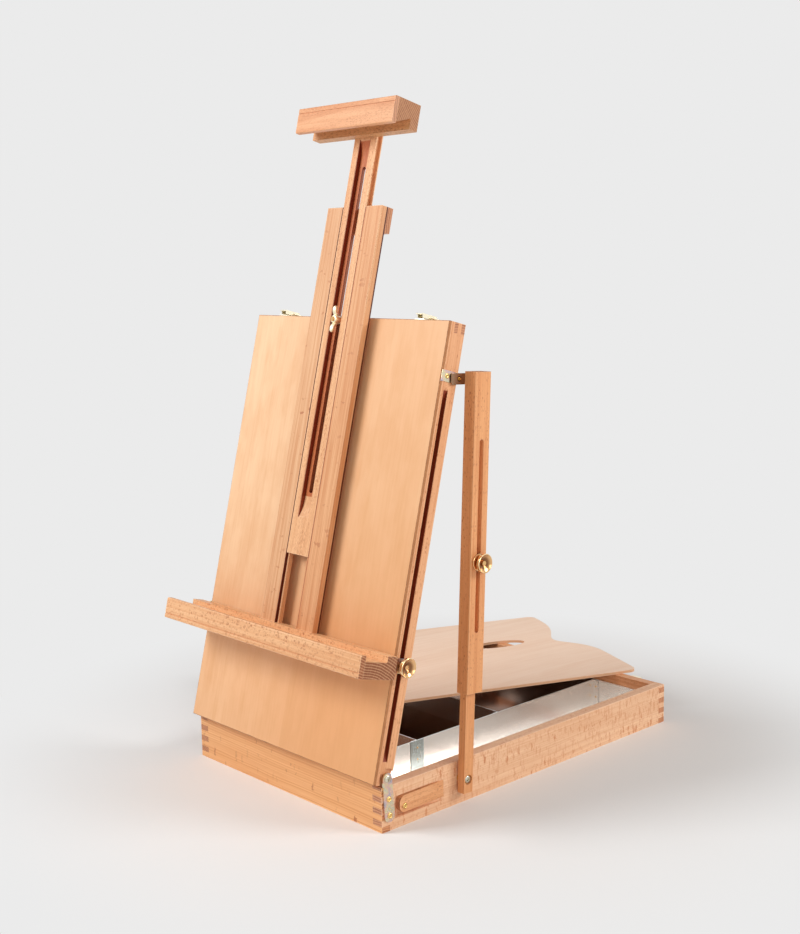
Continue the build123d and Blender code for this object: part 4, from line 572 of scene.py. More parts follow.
def veneer(name, along, face, pale, figure, core, depth=0.6, mottle=0.4,
           edge=0.6, deep=None):
    """Veneered ply on one CAD piece, deepening to deep at its low near corner if that is given:
    partly painted shade where the light falls off, partly a deeper veneer tone.
    """
    piece = nodes[name]
    turn = axes_of(along, face)
    low, high = box_in(piece, turn)
    size = high - low
    made, tree, spot = fresh_material("veneer_" + name, turn)
    normal = own_axes(tree, turn, "Normal", "VECTOR")
    spot = vectors(tree, "SUBTRACT", spot, (0, 0, low.z))
    # Painted shade where the light falls off, with a deeper veneer tone, towards the low near
    # corner
    if deep:
        parts = split(tree, spot)
        across = ease(tree, parts[1], high.y, low.y)
        below = ease(tree, parts[0], high.x - 0.3 * size.x, low.x)
        lean = linear(tree, across, 0.65, times(tree, below, 0.5), clamp=True)
        pale = blend(tree, lean, pale, deep)
    wood = place(tree, VENEER, Vector=spot, Normal=normal, Pale=pale, Figure=figure, Core=core,
                 Figure_Depth=depth, Mottle=mottle)
    worn = place(tree, EDGE_WEAR_AND_HIGHLIGHT, Vector=spot, Low=(low.x, low.y, 0),
                 High=(high.x, high.y, size.z))["Mask"]
    colour = blend(tree, times(tree, worn, edge), wood["Color"], core)
    dress(made, colour, wood["Roughness"], wood["Height"], 0.15, 0.0002,
          Specular_IOR_Level=WOOD_SHINE)
    give(made, piece)


def metal(name, slot, bright, tarnish, polish, uneven, amount, streak, depth=0.00005):
    """Metal finish for any number of pieces."""
    made, tree, spot = fresh_material(name)
    skin = place(tree, METAL_SKIN, Vector=spot, Bright=bright, Tarnish=tarnish, Polish=polish,
                 Uneven=uneven, Tarnish_Amount=amount, Streak=streak)
    return bare_metal(made, slot, skin["Color"], skin["Roughness"], skin["Height"], 0.3, depth)


def build_yellow_zinc():
    """Yellow passivated plate, with the blue, pink and green bloom of the bath."""
    made, tree, spot = fresh_material("yellow_zinc")
    skin = place(tree, METAL_SKIN, Vector=spot, Bright=srgb(232, 224, 196),
                 Tarnish=srgb(190, 166, 122), Polish=0.26, Uneven=0.12, Tarnish_Amount=0.35,
                 Streak=(300, 300, 300))
    ramp = add(tree, "ValToRGB", {"Fac": cloud(tree, spot, (85, 85, 85), 3.0, 0.55)[0]})
    stops = ramp.color_ramp.elements
    stops[0].position = 0.30
    stops[0].color = srgb(120, 150, 200)
    stops[1].position = 0.72
    stops[1].color = srgb(228, 196, 96)
    for position, colour in ((0.40, (190, 168, 206)), (0.47, (232, 176, 178)),
                             (0.55, (232, 214, 168)), (0.63, (196, 206, 196))):
        stops.new(position).color = srgb(*colour)
    colour = blend(tree, 0.55, skin["Color"], ramp.outputs[0])
    return bare_metal(made, "yellow_zinc", colour, skin["Roughness"], skin["Height"], 0.25,
                      0.00005)


SHADED_REFLECTION_END = 0.066  # the floor of the bays left of this line gets a painted brown reflection of the shaded wood above


def build_tin(name, top):
    """Bright tinplate: brushed sides, a smoother floor painted brown in the left bays as a
    reflection of the shaded wood, and a rolled rim at its top's height.
    """
    made, tree, spot = fresh_material(name)
    skin = place(tree, METAL_SKIN, Vector=spot, Bright=srgb(250, 248, 245),
                 Tarnish=srgb(220, 216, 210), Polish=0.25, Uneven=0.03, Tarnish_Amount=0.08,
                 Streak=(60, 110, 3), Specks=0.02)
    up = ease(tree, split(tree, own_axes(tree, UNTURNED, "Normal", "VECTOR"))[2], 0.5, 0.9)
    parts = split(tree, spot)
    rim = times(tree, up, ease(tree, parts[2], top - 0.0012, top - 0.0006))
    floor = minus(tree, up, rim)
    # Painted reflection: the left bays' floor browned as if mirroring the shaded wood above
    shaded_reflection = sums(tree, "LESS_THAN", parts[0], SHADED_REFLECTION_END)
    bed = blend(tree, shaded_reflection, srgb(234, 226, 219), srgb(146, 114, 94))
    colour = blend(tree, floor, skin["Color"], bed)
    colour = blend(tree, rim, colour, srgb(254, 254, 252))
    rough = linear(tree, floor, -0.12, skin["Roughness"])
    rough = linear(tree, rim, 0.15, rough)
    return bare_metal(made, "tinplate", colour, rough, skin["Height"], 0.05, 0.000004)


def build_knob_brass(name, seat):
    """Turned brass with fine lathe rings about its axis, a painted dark reflection in the bottom of
    the dish and a painted highlight on the rim.
    """
    made, tree, spot = fresh_material(name)
    skin = place(tree, METAL_SKIN, Vector=spot, Bright=srgb(236, 186, 132),
                 Tarnish=srgb(160, 104, 62), Polish=0.10, Uneven=0.06, Tarnish_Amount=0.35,
                 Streak=(500, 90, 90))
    across = vectors(tree, "MULTIPLY", vectors(tree, "SUBTRACT", spot, seat), (0, 1, 1))
    away = length(tree, across)
    dish = times(tree, ease(tree, away, 0.0023, 0.0034),
                 minus(tree, 1.0, ease(tree, away, 0.0056, 0.0098)))
    rings = wave(tree, times(tree, away, 2600), 1.0)
    # Painted reflection: the dish darkened brown
    colour = blend(tree, times(tree, dish, 0.85), skin["Color"], srgb(120, 72, 44))
    # Painted highlight: the rim made lighter
    colour = blend(tree, ease(tree, away, 0.0106, 0.0114), colour, srgb(250, 218, 170))
    rough = linear(tree, rings, 0.06, skin["Roughness"])
    return bare_metal(made, "brass", colour, rough, rings, 0.3, 0.00004)


def build_leather():
    """Dark handle leather: pebbled grain, darker in its creases."""
    made, tree, spot = fresh_material("handle_leather")
    cells = add(tree, "TexVoronoi", {"Vector": spot, "Scale": 620.0}, feature="DISTANCE_TO_EDGE")
    pebble = ease(tree, cells.outputs[0], 0.0, 0.25)
    tone = cloud(tree, spot, (60, 60, 60), 3.0)[0]
    colour = blend(tree, ease(tree, tone, 0.35, 0.7), srgb(96, 58, 36), srgb(132, 84, 52))
    crease = times(tree, minus(tree, 1.0, pebble), 0.5)
    colour = blend(tree, crease, colour, srgb(52, 30, 20))
    return dress(made, colour, linear(tree, tone, 0.2, 0.38), pebble, 0.7, 0.0005)


def build_thread():
    """Waxed sewing thread: fine twist across it."""
    made, tree, spot = fresh_material("waxed_thread")
    inputs = {"Vector": spot, "Scale": 900.0, "Distortion": 1.0}
    twist = add(tree, "TexWave", inputs).outputs[0]
    colour = blend(tree, twist, srgb(206, 178, 136), srgb(232, 210, 172))
    return dress(made, colour, linear(tree, twist, 0.15, 0.5), twist, 0.5, 0.0001)


BRASS = metal("turned_brass", "brass", srgb(238, 192, 132), srgb(168, 112, 66), 0.09, 0.05, 0.3,
              (700, 60, 700))
CAST_BRASS = metal("cast_brass", "brass", srgb(255, 246, 214), srgb(232, 206, 150), 0.36, 0.08,
                   0.3, (240, 240, 240), 0.00012)
RIVET_BRASS = metal("rivet_brass", "brass", srgb(236, 200, 128), srgb(150, 108, 58), 0.16, 0.08,
                    0.35, (260, 260, 260))
SCREW_STEEL = metal("screw_steel", "brass", srgb(226, 222, 204), srgb(150, 142, 118), 0.17, 0.08,
                    0.35, (260, 260, 260))
# Strut link plate: zinc coloured dark red-brown, a painted reflection of the wood beside it
LINK_ZINC_REFLECTION = metal("link_zinc_painted_reflection", "yellow_zinc", srgb(164, 134, 108), srgb(92, 66, 48), 0.28,
                   0.08, 0.4, (260, 260, 260))
NICKEL = metal("nickel_plate", "nickel", srgb(250, 242, 216), srgb(196, 176, 134), 0.28, 0.08,
               0.35, (60, 500, 500))
STRAP_TIN = metal("strap_tin", "tinplate", srgb(186, 196, 196), srgb(140, 150, 152), 0.26, 0.08,
                  0.5, (60, 300, 30), 0.00003)
ZINC = build_yellow_zinc()
LEATHER = build_leather()
THREAD = build_thread()


def finish_with(made, *names):
    """Metal on carried-over CAD pieces."""
    for name in names:
        give(made, nodes[name])


def on_lid(right, up, out):
    """Point on the open lid: metres right of its middle, up from its pivot and out of its face."""
    return PIVOT + RIGHT * right + UP_LID * up + OUT_LID * out


# ---------------------------------------------------------------- box
LOG_PINK = (0.990, 0.970, 0.985)
LOG_GOLD = (0.995, 0.985, 0.93)
LOG_WARM = (0.985, 0.930, 0.870)
LOG_PALE = (1.02, 1.05, 1.08)
# The right wall's paler tone is painted light, brightening the box's lit side
beech("wall_right", FAR, RIGHT, "quarter", flecks=0.6, rings=0.30, streaks=0.35,
      tone=(1.04, 1.12, 1.25), ray=(212, 136, 92))
beech("wall_left", FAR, -RIGHT, "rift", flecks=0.3, tone=LOG_PINK)
beech("wall_front", RIGHT, -FAR, "edge", flecks=0.05, rings=0.8, ring=0.0034, streaks=0.4,
      tone=(1.03, 1.03, 0.99), end=(206, 138, 98))
beech("wall_far", RIGHT, FAR, "flat", flecks=0.3, tone=LOG_PINK, end=(206, 140, 102))
beech("side_bar", FAR, RIGHT, "flat", flecks=0.3, rings=0.4, tone=(1.0, 0.98, 0.97))
veneer("bottom_panel", FAR, -UP, srgb(226, 188, 140), srgb(204, 158, 108), srgb(190, 140, 92))

# ---------------------------------------------------------------- lid
# Painted shade inside the grooves along the lid's sides
GROOVE_SHADE = (150, 86, 66)
for name, side in (("lid_side_right", 1), ("lid_side_left", -1)):
    groove = (on_lid(side * 0.1848, 0.016, 0.0022), on_lid(side * 0.170, 0.470, 0.0118),
              GROOVE_SHADE)
    beech(name, UP_LID, RIGHT * side, "rift", flecks=0.2, tone=LOG_PINK, hollow_shades=[groove])
beech("lid_end_hinge", RIGHT, OUT_LID, "flat", flecks=0.2, tone=LOG_GOLD)
beech("lid_end_top", RIGHT, UP_LID, "flat", flecks=0.3, tone=LOG_PINK)
veneer("lid_panel", UP_LID, OUT_LID, srgb(252, 212, 172), srgb(224, 162, 108),
       srgb(150, 92, 54), 0.42, mottle=0.6, edge=0.8, deep=srgb(236, 176, 124))

# ---------------------------------------------------------------- strut
beech("strut_upper", UP_STRUT, RIGHT, "rift", flecks=0.25, rings=0.4, tone=LOG_WARM)
beech("strut_lower", UP_STRUT, RIGHT, "rift", flecks=0.2, tone=LOG_WARM)

# ---------------------------------------------------------------- ledge, rails, mast and head
beech("ledge_bar", RIGHT, OUT_LID, "rift", flecks=0.6, rings=0.25, end=(150, 88, 56),
      tone=(1.03, 1.09, 1.13), heart=(-0.105, 0.03))
beech("ledge_strip", RIGHT, OUT_LID, "flat", flecks=0.6, rings=0.35, tone=LOG_PALE,
      end=(166, 102, 68), heart=(-0.09, 0.03))

# A rail's two lower edges get painted shade: beside the mast, and over the panel
PANEL_GAP_SHADE = (96, 46, 30)
for name, side, tone, mast_gap_shade in (
        ("rail_left", -1, (0.975, 1.01, 1.06), (120, 64, 44)),
        ("rail_right", 1, (0.975, 0.975, 0.985), (190, 120, 90))):
    beside_mast = (on_lid(side * 0.0196, 0.140, 0.020), on_lid(side * 0.0232, 0.700, 0.045),
                   mast_gap_shade)
    over_panel = (on_lid(side * 0.0500, 0.140, 0.020), on_lid(side * 0.0545, 0.700, 0.0290),
                  PANEL_GAP_SHADE)
    beech(name, UP_LID, OUT_LID, "edge", flecks=0.05, rings=0.6, ring=0.0026, streaks=0.8,
          tone=tone, hollow_shades=[beside_mast, over_panel])
beech("rail_bridge", RIGHT, OUT_LID, "flat", flecks=0.3, tone=LOG_PINK)

# Painted shade in the mast's recess, darker along its left wall and in its slot
MAST_RECESS_SHADE = (on_lid(-0.0104, 0.3120, 0.0300), on_lid(0.0104, 0.7725, 0.0368), (212, 158, 128))
MAST_RECESS_EDGE_SHADE = (on_lid(-0.0118, 0.2845, 0.0300), on_lid(-0.0085, 0.7725, 0.0374), (150, 84, 64))
MAST_SLOT_SHADE = (on_lid(-0.0040, 0.3165, 0.0200), on_lid(0.0040, 0.7385, 0.0316), (150, 80, 60))
beech("mast", UP_LID, OUT_LID, "flat", flecks=0.8, rings=0.35, tone=LOG_PALE,
      hollow_shades=[MAST_RECESS_SHADE, MAST_RECESS_EDGE_SHADE, MAST_SLOT_SHADE])
beech("head_bar", RIGHT, OUT_LID, "rift", flecks=1.0, rings=0.30, end=(176, 122, 90),
      tone=(0.955, 0.965, 0.94), ray=(150, 84, 50), fleck=(0.0062, 0.0015, 0.020),
      heart=(0.085, -0.085))
beech("head_strip", RIGHT, OUT_LID, "flat", flecks=0.7, tone=LOG_PINK, end=(206, 152, 122))

# ---------------------------------------------------------------- palette
veneer("palette", PALETTE_GRAIN, UP, srgb(254, 224, 200), srgb(236, 194, 162),
       srgb(222, 172, 132), mottle=0.2)

# ---------------------------------------------------------------- metal left as it is carried over
finish_with(BRASS, "clamp_bolt", "strut_bolt")
finish_with(RIVET_BRASS, "pivot_spacers", "strut_foot_washers", "divider_rivets")
finish_with(LINK_ZINC_REFLECTION, "strut_link_plate")
finish_with(ZINC, "hinge_plate_left", "hinge_plate_right", "lid_link_plate",
            "ledge_bracket_left", "ledge_bracket_right", "clamp_pad")
finish_with(NICKEL, "latch_bases", "latch_lever_left", "latch_lever_right", "latch_bail_left",
            "latch_bail_right", "latch_keepers", "handle_brackets")
for name in ("liner", "divider_long", "divider_far", "divider_near"):
    finish_with(build_tin("tin_" + name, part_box(name)[1].z), name)
finish_with(STRAP_TIN, "divider_strap")


# ---------------------------------------------------------------- turned and stitched pieces


def mesh_of(name, shape):
    """Mesh of a finished shape."""
    mesh = bpy.data.meshes.new(name)
    shape.to_mesh(mesh)
    shape.free()
    return mesh


def stand(name, data):
    """New object in the scene."""
    made = bpy.data.objects.new(name, data)
    bpy.context.scene.collection.objects.link(made)
    return made


def welded(name):
    """Shape of a carried-over node, its corners joined."""
    shape = bmesh.new()
    shape.from_mesh(nodes[name].data)
    bmesh.ops.remove_doubles(shape, verts=shape.verts, dist=SAME_SPOT)
    return shape


def square_to(axis):
    """Two directions across an axis, at right angles."""
    first = axis.cross(UP if abs(axis.z) < 0.9 else FAR).normalized()
    return first, axis.cross(first).normalized()


def skin_over(shape, rows, sides):
    """Faces between rings of corners; a ring of one corner closes to a point."""
    for low, high in zip(rows, rows[1:]):
        for k in range(sides):
            after = (k + 1) % sides
            ring = [low[k % len(low)], low[after % len(low)],
                    high[after % len(high)], high[k % len(high)]]
            shape.faces.new(list(dict.fromkeys(ring)))


def turned(shape, profile, seat, axis, sides=48):
    """Add a solid of revolution: profile is (radius, height) in mm from its seat along the axis."""
    first, second = square_to(axis)
    rows = []
    for radius, height in profile:
        middle = seat + axis * height / MM_IN_M
        if radius == 0:
            rows.append([shape.verts.new(middle)])
            continue
        ring = []
        for k in range(sides):
            turn = 2 * pi * k / sides
            out = first * cos(turn) + second * sin(turn)
            ring.append(shape.verts.new(middle + out * radius / MM_IN_M))
        rows.append(ring)
    skin_over(shape, rows, sides)


HEAD_SIDES = 64
HEAD_STEPS = (0.0, 0.09, 0.18, 0.27, 0.36, 0.45, 0.54, 0.62, 0.74, 0.86, 0.94, 1.0)


def head_rise(right, up, step, height):
    """Height of a cross-head screw's face at a place on it, in shares of its radius."""
    rise = 0.25 * height if step == 1.0 else height * (1 - 0.55 * step ** 2.6)
    near, far = sorted((abs(right), abs(up)))
    arm = 0.13 * (1 - 0.4 * far / 0.6)
    if near < arm and far < 0.58:
        rise -= 0.75 * height * min(1.0, (0.62 - far) / 0.16)
    return rise


def cross_head(shape, seat, axis, radius, height, turn):
    """Add a raised screw head with a cross-shaped recess."""
    first, second = square_to(axis)
    first, second = (first * cos(turn) + second * sin(turn),
                     second * cos(turn) - first * sin(turn))
    rows = []
    for step in HEAD_STEPS:
        ring = []
        for k in range(HEAD_SIDES if step else 1):
            around = 2 * pi * k / HEAD_SIDES
            right, up = step * cos(around), step * sin(around)
            rise = head_rise(right, up, step, height)
            ring.append(shape.verts.new(seat + (first * right + second * up) * radius
                                        + axis * rise))
        rows.append(ring)
    base = [shape.verts.new(v.co - axis * axis.dot(v.co - seat)) for v in rows[-1]]
    rows.append(base)
    for low, high in zip(rows, rows[1:]):
        for k in range(HEAD_SIDES):
            after = (k + 1) % HEAD_SIDES
            ring = [low[k % len(low)], high[k], high[after], low[after % len(low)]]
            shape.faces.new(list(dict.fromkeys(ring)))
    shape.faces.new(list(reversed(base)))


def solids_of(name):
    """The corners of each separate solid in a carried-over node, in the same order each run."""
    shape = welded(name)
    left = dict.fromkeys(shape.verts)
    found = []
    while left:
        waiting = [left.popitem()[0]]
        solid = []
        while waiting:
            corner = waiting.pop()
            solid.append(corner.co.copy())
            for edge in corner.link_edges:
                other = edge.other_vert(corner)
                if other in left:
                    del left[other]
                    waiting.append(other)
        found.append(solid)
    shape.free()
    return sorted(found, key=lambda s: [round(min(p[i] for p in s), 4) for i in range(3)])


def head_of(solid, axis):
    """A screw or rivet head's seat, outward axis, radius and height, and its shank's length."""
    first, second = square_to(axis)
    across = [(p.dot(first), p.dot(second)) for p in solid]
    middle = [(min(a[i] for a in across) + max(a[i] for a in across)) / 2 for i in range(2)]
    reach = [((a[0] - middle[0]) ** 2 + (a[1] - middle[1]) ** 2) ** 0.5 for a in across]
    along = [p.dot(axis) for p in solid]
    radius = max(reach)
    wide = [d for d, r in zip(along, reach) if r > 0.93 * radius]
    low, high = min(along), max(along)
    outward = 1 if (min(wide) + max(wide)) / 2 > (low + high) / 2 else -1
    seat_at = min(wide) if outward > 0 else max(wide)
    top_at, tail_at = (high, low) if outward > 0 else (low, high)
    seat = first * middle[0] + second * middle[1] + axis * seat_at
    return seat, axis * outward, radius, abs(top_at - seat_at), abs(seat_at - tail_at)


def piece_from(shape, name, made, *stands_for, smooth=40):
    """A finished mesh piece that stands for carried-over nodes and moves with their body."""
    bmesh.ops.recalc_face_normals(shape, faces=shape.faces)
    mesh = mesh_of(name, shape)
    piece = stand(name, mesh)
    mesh.materials.append(made)
    mesh.shade_smooth()
    mesh.set_sharp_from_angle(angle=radians(smooth))
    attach(piece, body_of(nodes[stands_for[0]])[0])
    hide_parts(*stands_for)


def cross_screws(name, axis, made):
    """Cross-head screws in place of a node's plain ones."""
    shape = bmesh.new()
    for count, solid in enumerate(solids_of(name)):
        seat, outward, radius, height, tail = head_of(solid, axis)
        cross_head(shape, seat, outward, radius, height, 0.35 + 0.9 * count)
        shank = radius * 420
        deep = tail * MM_IN_M
        turned(shape, [(0, -deep), (shank * 0.6, -deep), (shank, -deep * 0.8), (shank, 0), (0, 0)],
               seat, outward, 20)
    piece_from(shape, name + "_turned", made, name)


def hollow_rivets(name, axis, made):
    """Tubular rivets, their heads rolled over, in place of a node's plain ones."""
    shape = bmesh.new()
    for solid in solids_of(name):
        seat, outward, radius, height, tail = head_of(solid, axis)
        r, h, deep = radius * MM_IN_M, height * MM_IN_M, tail * MM_IN_M
        turned(shape, [(0, -deep), (r * 0.5, -deep), (r * 0.5, 0), (r, 0), (r, 0.22 * h),
                       (0.95 * r, 0.55 * h), (0.80 * r, 0.86 * h), (0.62 * r, h),
                       (0.48 * r, 0.93 * h), (0.38 * r, 0.66 * h), (0.32 * r, 0.36 * h),
                       (0, 0.30 * h)], seat, outward, 36)
    piece_from(shape, name + "_rolled", made, name, smooth=60)


KNOB_PROFILE = [(0, 0), (10.6, 0), (10.8, 0.3), (10.8, 1.3), (10.2, 1.9), (6.2, 2.6), (5.2, 3.4),
                (5.2, 5.2), (6.2, 6.1), (10.4, 7.2), (11.9, 8.0), (12.2, 8.8), (12.2, 10.7),
                (11.95, 11.5), (11.4, 11.9), (10.8, 11.75), (10.3, 11.2), (6.4, 9.6), (2.9, 8.3),
                (2.6, 8.1), (2.5, 7.6), (0, 7.6)]
KNOB_TALL = 11.9
COLLAR_TALL = 2.6
THUMB_HEAD_TALL = 11.8


def dished_knob(name, seat, axis, reach, collar=10.8, tail=()):
    """Turned brass knob with a conical dish, scaled to its reach along the axis."""
    scale = reach / KNOB_TALL
    profile = []
    for radius, height in KNOB_PROFILE:
        if height < COLLAR_TALL and radius > collar:
            radius = collar - 0.2 * (height in (0, 1.9))
        profile.append((radius, height * scale))
    if tail:
        profile = [(0, -tail[1]), (tail[0], -tail[1]), (tail[0], 0)] + profile[1:]
    shape = bmesh.new()
    turned(shape, profile, seat, axis, 72)
    piece_from(shape, name + "_turned", build_knob_brass("brass_" + name, seat), name, smooth=32)


def knob_place(name, side):
    """Seat, axis and length of a knob whose axis runs left to right."""
    low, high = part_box(name)
    middle = (Vector(low) + Vector(high)) / 2
    start = low[0] if side > 0 else high[0]
    return Vector((start, middle.y, middle.z)), RIGHT * side, (high[0] - low[0]) * MM_IN_M


seat, axis, reach = knob_place("strut_knob", 1)
dished_knob("strut_knob", seat, axis, reach)
for name, side in (("thumb_screw_left", -1), ("thumb_screw_right", 1)):
    seat, axis, reach = knob_place(name, side)
    shank = reach - THUMB_HEAD_TALL
    dished_knob(name, seat + axis * shank / MM_IN_M, axis, THUMB_HEAD_TALL, collar=6.6,
                tail=(2.4, shank))

for name, axis in (("pivot_screws", RIGHT), ("strut_foot_screw", RIGHT),
                   ("head_screws", OUT_LID), ("bracket_screws", OUT_LID),
                   ("latch_screws", UP_LID), ("far_wall_screws", FAR)):
    cross_screws(name, axis, SCREW_STEEL)
for name in ("wall_rivets", "lid_link_rivets", "strut_link_rivets"):
    hollow_rivets(name, RIGHT, RIVET_BRASS)


BOSS_PROFILE = [(3.0, 0.5), (3.0, 0), (5.2, 0), (5.5, 0.5), (5.3, 2.4), (5.2, 7.6), (4.9, 9.2),
                (4.3, 9.9), (3.4, 9.9), (3.0, 9.3), (3.0, 0.5)]
EAR_START = 3.4
EAR_ROWS = 14
EAR_SIDES = 20


def ear_ring(seat, along, low_edge, high_edge, thick, shrink):
    """Spots round one section of a wing nut's ear, a rounded oblong; all sizes in mm."""
    rise = (low_edge + high_edge) / 2
    deep = (high_edge - low_edge) / 2 * shrink
    for j in range(EAR_SIDES):
        turn = 2 * pi * j / EAR_SIDES
        flat = copysign(abs(cos(turn)) ** 0.5, cos(turn))
        tall_way = copysign(abs(sin(turn)) ** 0.7, sin(turn))
        yield (seat + UP_LID * along / MM_IN_M + OUT_LID * (rise + deep * tall_way) / MM_IN_M
               + RIGHT * thick * flat / MM_IN_M)


def wing_nut():
    """Cast wing nut: a waisted boss and two rounded ears along the slot."""
    low, high = box_in(nodes["wing_nut"], Matrix((RIGHT, UP_LID, OUT_LID)))
    middle = (low + high) / 2
    seat = RIGHT * middle.x + UP_LID * middle.y + OUT_LID * low.z
    tall = (high.z - low.z) * MM_IN_M - 6.5
    half = (high.y - low.y) * MM_IN_M / 2 - 1.0
    shape = bmesh.new()
    turned(shape, BOSS_PROFILE, seat, OUT_LID, 40)
    for side in (-1, 1):
        rows = []
        for k in range(EAR_ROWS + 1):
            t = k / EAR_ROWS
            low_edge = min(6.1, 1.5 + 11.5 * t)
            high_edge = 7.0 + (tall - 7.0) * sin(0.5 * pi * min(1.0, 1.6 * t))
            shrink = (1 - max(0.0, (t - 0.75) / 0.25) ** 2 * 0.97) ** 0.5
            along = side * (EAR_START + (half - EAR_START) * t)
            thick = (3.0 - 0.4 * t) * max(0.5, shrink)
            ring = ear_ring(seat, along, low_edge, high_edge, thick, shrink)
            rows.append([shape.verts.new(spot) for spot in ring])
        skin_over(shape, rows, EAR_SIDES)
        shape.faces.new(rows[0])
        shape.faces.new(rows[-1])
    piece_from(shape, "wing_nut_cast", CAST_BRASS, "wing_nut", smooth=50)


wing_nut()

STITCH = 0.0042
SEAM_INSET = 0.0021
THREAD_RADIUS = 0.34  # in mm, like the two below
THREAD_TAPER = 0.28
THREAD_ENDS = (0.5, 0.65, 0.9)


def softened(name, source):
    """A node's mesh evened out and smoothed, as an object of its own."""
    piece = stand(name, mesh_of(name, welded(source)))
    remesh = piece.modifiers.new("even", "REMESH")
    remesh.mode = "VOXEL"
    remesh.voxel_size = 0.0011
    smooth = piece.modifiers.new("soft", "SMOOTH")
    smooth.factor = 0.5
    smooth.iterations = 6
    depsgraph = bpy.context.evaluated_depsgraph_get()
    mesh = bpy.data.meshes.new_from_object(piece.evaluated_get(depsgraph))
    piece.modifiers.clear()
    piece.data = mesh
    return piece


def seam_spot(column, step, pick):
    """Where the thread goes through the grip at one step along it, near the edge that is picked."""
    edge = pick(column, key=lambda p: p.z)
    level = edge.z + (SEAM_INSET if pick is min else -SEAM_INSET)
    near = [p for p in column if abs(p.z - level) < 0.0012]
    return [Vector((step * STITCH, max(near, key=lambda p: p.y).y + 0.0001, level))] if near else []


def stitches(mesh):
    """Short threads along both edges of the grip."""
    columns = {}
    for vertex in mesh.vertices:
        columns.setdefault(round(vertex.co.x / STITCH), []).append(vertex.co)
    shape = bmesh.new()
    steps = sorted(columns)
    for before, after in zip(steps[2:-3], steps[3:-2]):
        for pick in (min, max):
            ends = [spot for step in (before, after)
                    for spot in seam_spot(columns[step], step, pick)]
            if len(ends) == 2:
                line = ends[1] - ends[0]
                reach = line.length * MM_IN_M
                tip, taper, full = THREAD_ENDS
                turned(shape, [(0, tip), (THREAD_TAPER, taper), (THREAD_RADIUS, full),
                               (THREAD_RADIUS, reach - full), (THREAD_TAPER, reach - taper),
                               (0, reach - tip)], ends[0], line.normalized(), 8)
    return shape


def leather_grip():
    """Stitched leather grip, softened from its solid, with thread along both edges."""
    source = nodes["handle_grip"]
    piece = softened("grip_leather", "handle_grip")
    piece.data.materials.clear()
    piece.data.materials.append(LEATHER)
    piece.data.shade_smooth()
    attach(piece, body_of(source)[0])
    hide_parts("handle_grip")
    mesh = mesh_of("grip_thread", stitches(piece.data))
    thread = stand("grip_thread", mesh)
    mesh.materials.append(THREAD)
    mesh.shade_smooth()
    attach(thread, body_of(source)[0])


leather_grip()


# ---------------------------------------------------------------- room, lamps and camera
PAPER = srgb(235, 235, 235)
DUST = (0.8, 0.8, 0.8, 1)
FLOOR_RADIUS = 6.0
FADE_START, FADE_END = 0.36, 0.72  # metres from the middle, where the shadow fades out


def build_floor():
    """Pale floor: its shadow stays under the object and fades into the backdrop's colour."""
    shape = bmesh.new()
    bmesh.ops.create_circle(shape, cap_ends=True, segments=96, radius=FLOOR_RADIUS)
    mesh = mesh_of("floor", shape)
    floor = stand("floor", mesh)
    made = bpy.data.materials.new("floor_paper")
    tree = empty_tree(made)
    spot = add(tree, "TexCoord").outputs["Object"]
    grain = times(tree, cloud(tree, spot, (300, 300, 300), 2.0)[0], 0.03)
    near = blend(tree, grain, srgb(243, 245, 248), DUST)
    wide = blend(tree, grain, srgb(240, 240, 240), DUST)
    path = add(tree, "LightPath").outputs
    seen = sums(tree, "MAXIMUM", path["Is Camera Ray"], path["Is Glossy Ray"])
    matt = add(tree, "BsdfDiffuse", {"Color": blend(tree, seen, wide, near)}).outputs[0]
    glow = linear(tree, seen, -0.05, 1.05)
    flat = add(tree, "Emission", {"Color": PAPER, "Strength": glow}).outputs[0]
    amount = ease(tree, length(tree, spot), FADE_START, FADE_END)
    mixed = add(tree, "MixShader", {0: amount, 1: matt, 2: flat}).outputs[0]
    add(tree, "OutputMaterial", {"Surface": mixed})
    mesh.materials.append(made)


def build_world():
    """Soft room light, and the pale backdrop that the eye, metal and glass see."""
    world = bpy.data.worlds.new("room")
    bpy.context.scene.world = world
    tree = empty_tree(world)
    path = add(tree, "LightPath").outputs
    seen = sums(tree, "MAXIMUM", path["Is Camera Ray"],
                sums(tree, "MAXIMUM", path["Is Glossy Ray"], path["Is Transmission Ray"]))
    air = add(tree, "Background", {"Color": (1.0, 0.93, 0.86, 1), "Strength": 0.30}).outputs[0]
    paper = add(tree, "Background", {"Color": PAPER, "Strength": 1.0}).outputs[0]
    mixed = add(tree, "MixShader", {0: seen, 1: air, 2: paper}).outputs[0]
    add(tree, "OutputWorld", {"Surface": mixed})


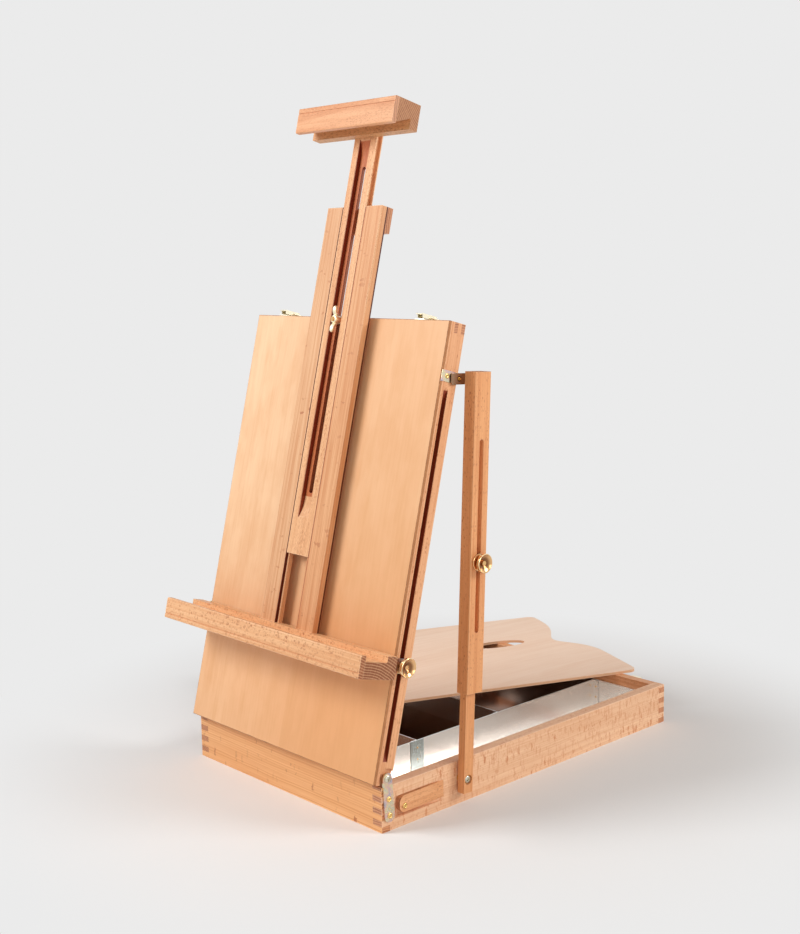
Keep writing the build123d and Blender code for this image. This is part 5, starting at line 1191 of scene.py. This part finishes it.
def softbox(name, spot, target, size, power, colour):
    """One rectangular lamp aimed at a point, size in metres and power in watts."""
    data = bpy.data.lights.new(name, "AREA")
    data.shape = "RECTANGLE"
    data.size, data.size_y = size
    data.energy = power
    data.color = colour
    lamp = stand(name, data)
    lamp.location = spot
    aim = Vector(target) - Vector(spot)
    lamp.rotation_euler = aim.to_track_quat("-Z", "Y").to_euler()


CAMERA_SPOT = Vector((1.32346, -1.29070, 0.67143))
CAMERA_AROUND = radians(47.239)
CAMERA_ABOVE = radians(8.664)
CAMERA_ROLL = radians(-0.999)
FOCAL_PIXELS = 1357.24
PICTURE_WIDTH = 800
SENSOR_WIDTH = 36.0


def build_camera():
    """Camera a little above the box, to its front right."""
    flat = cos(CAMERA_ABOVE)
    back = Vector((sin(CAMERA_AROUND) * flat, -cos(CAMERA_AROUND) * flat, sin(CAMERA_ABOVE)))
    level = UP.cross(back).normalized()
    rise = back.cross(level)
    right = level * cos(CAMERA_ROLL) + rise * sin(CAMERA_ROLL)
    top = rise * cos(CAMERA_ROLL) - level * sin(CAMERA_ROLL)
    data = bpy.data.cameras.new("view")
    data.sensor_fit = "HORIZONTAL"
    data.sensor_width = SENSOR_WIDTH
    data.lens = SENSOR_WIDTH * FOCAL_PIXELS / PICTURE_WIDTH
    data.clip_start = 0.05
    data.clip_end = 30.0
    camera = stand("view", data)
    turn = Matrix((right, top, back)).transposed().to_4x4()
    camera.matrix_world = Matrix.Translation(CAMERA_SPOT) @ turn
    bpy.context.scene.camera = camera


build_floor()
build_world()
softbox("front_left", (-1.15, -2.0, 1.9), (0, -0.1, 0.35), (1.1, 1.1), 46.0, (1.0, 0.99, 0.975))
softbox("back_right", (2.2, 1.3, 1.55), (0, 0, 0.1), (1.1, 0.9), 33.0, (1.0, 0.985, 0.96))
softbox("front_right", (2.1, -0.9, 1.2), (0, 0, 0.35), (1.2, 1.2), 10.0, (1.0, 0.94, 0.86))
build_camera()
bpy.context.scene.view_settings.view_transform = "Standard"
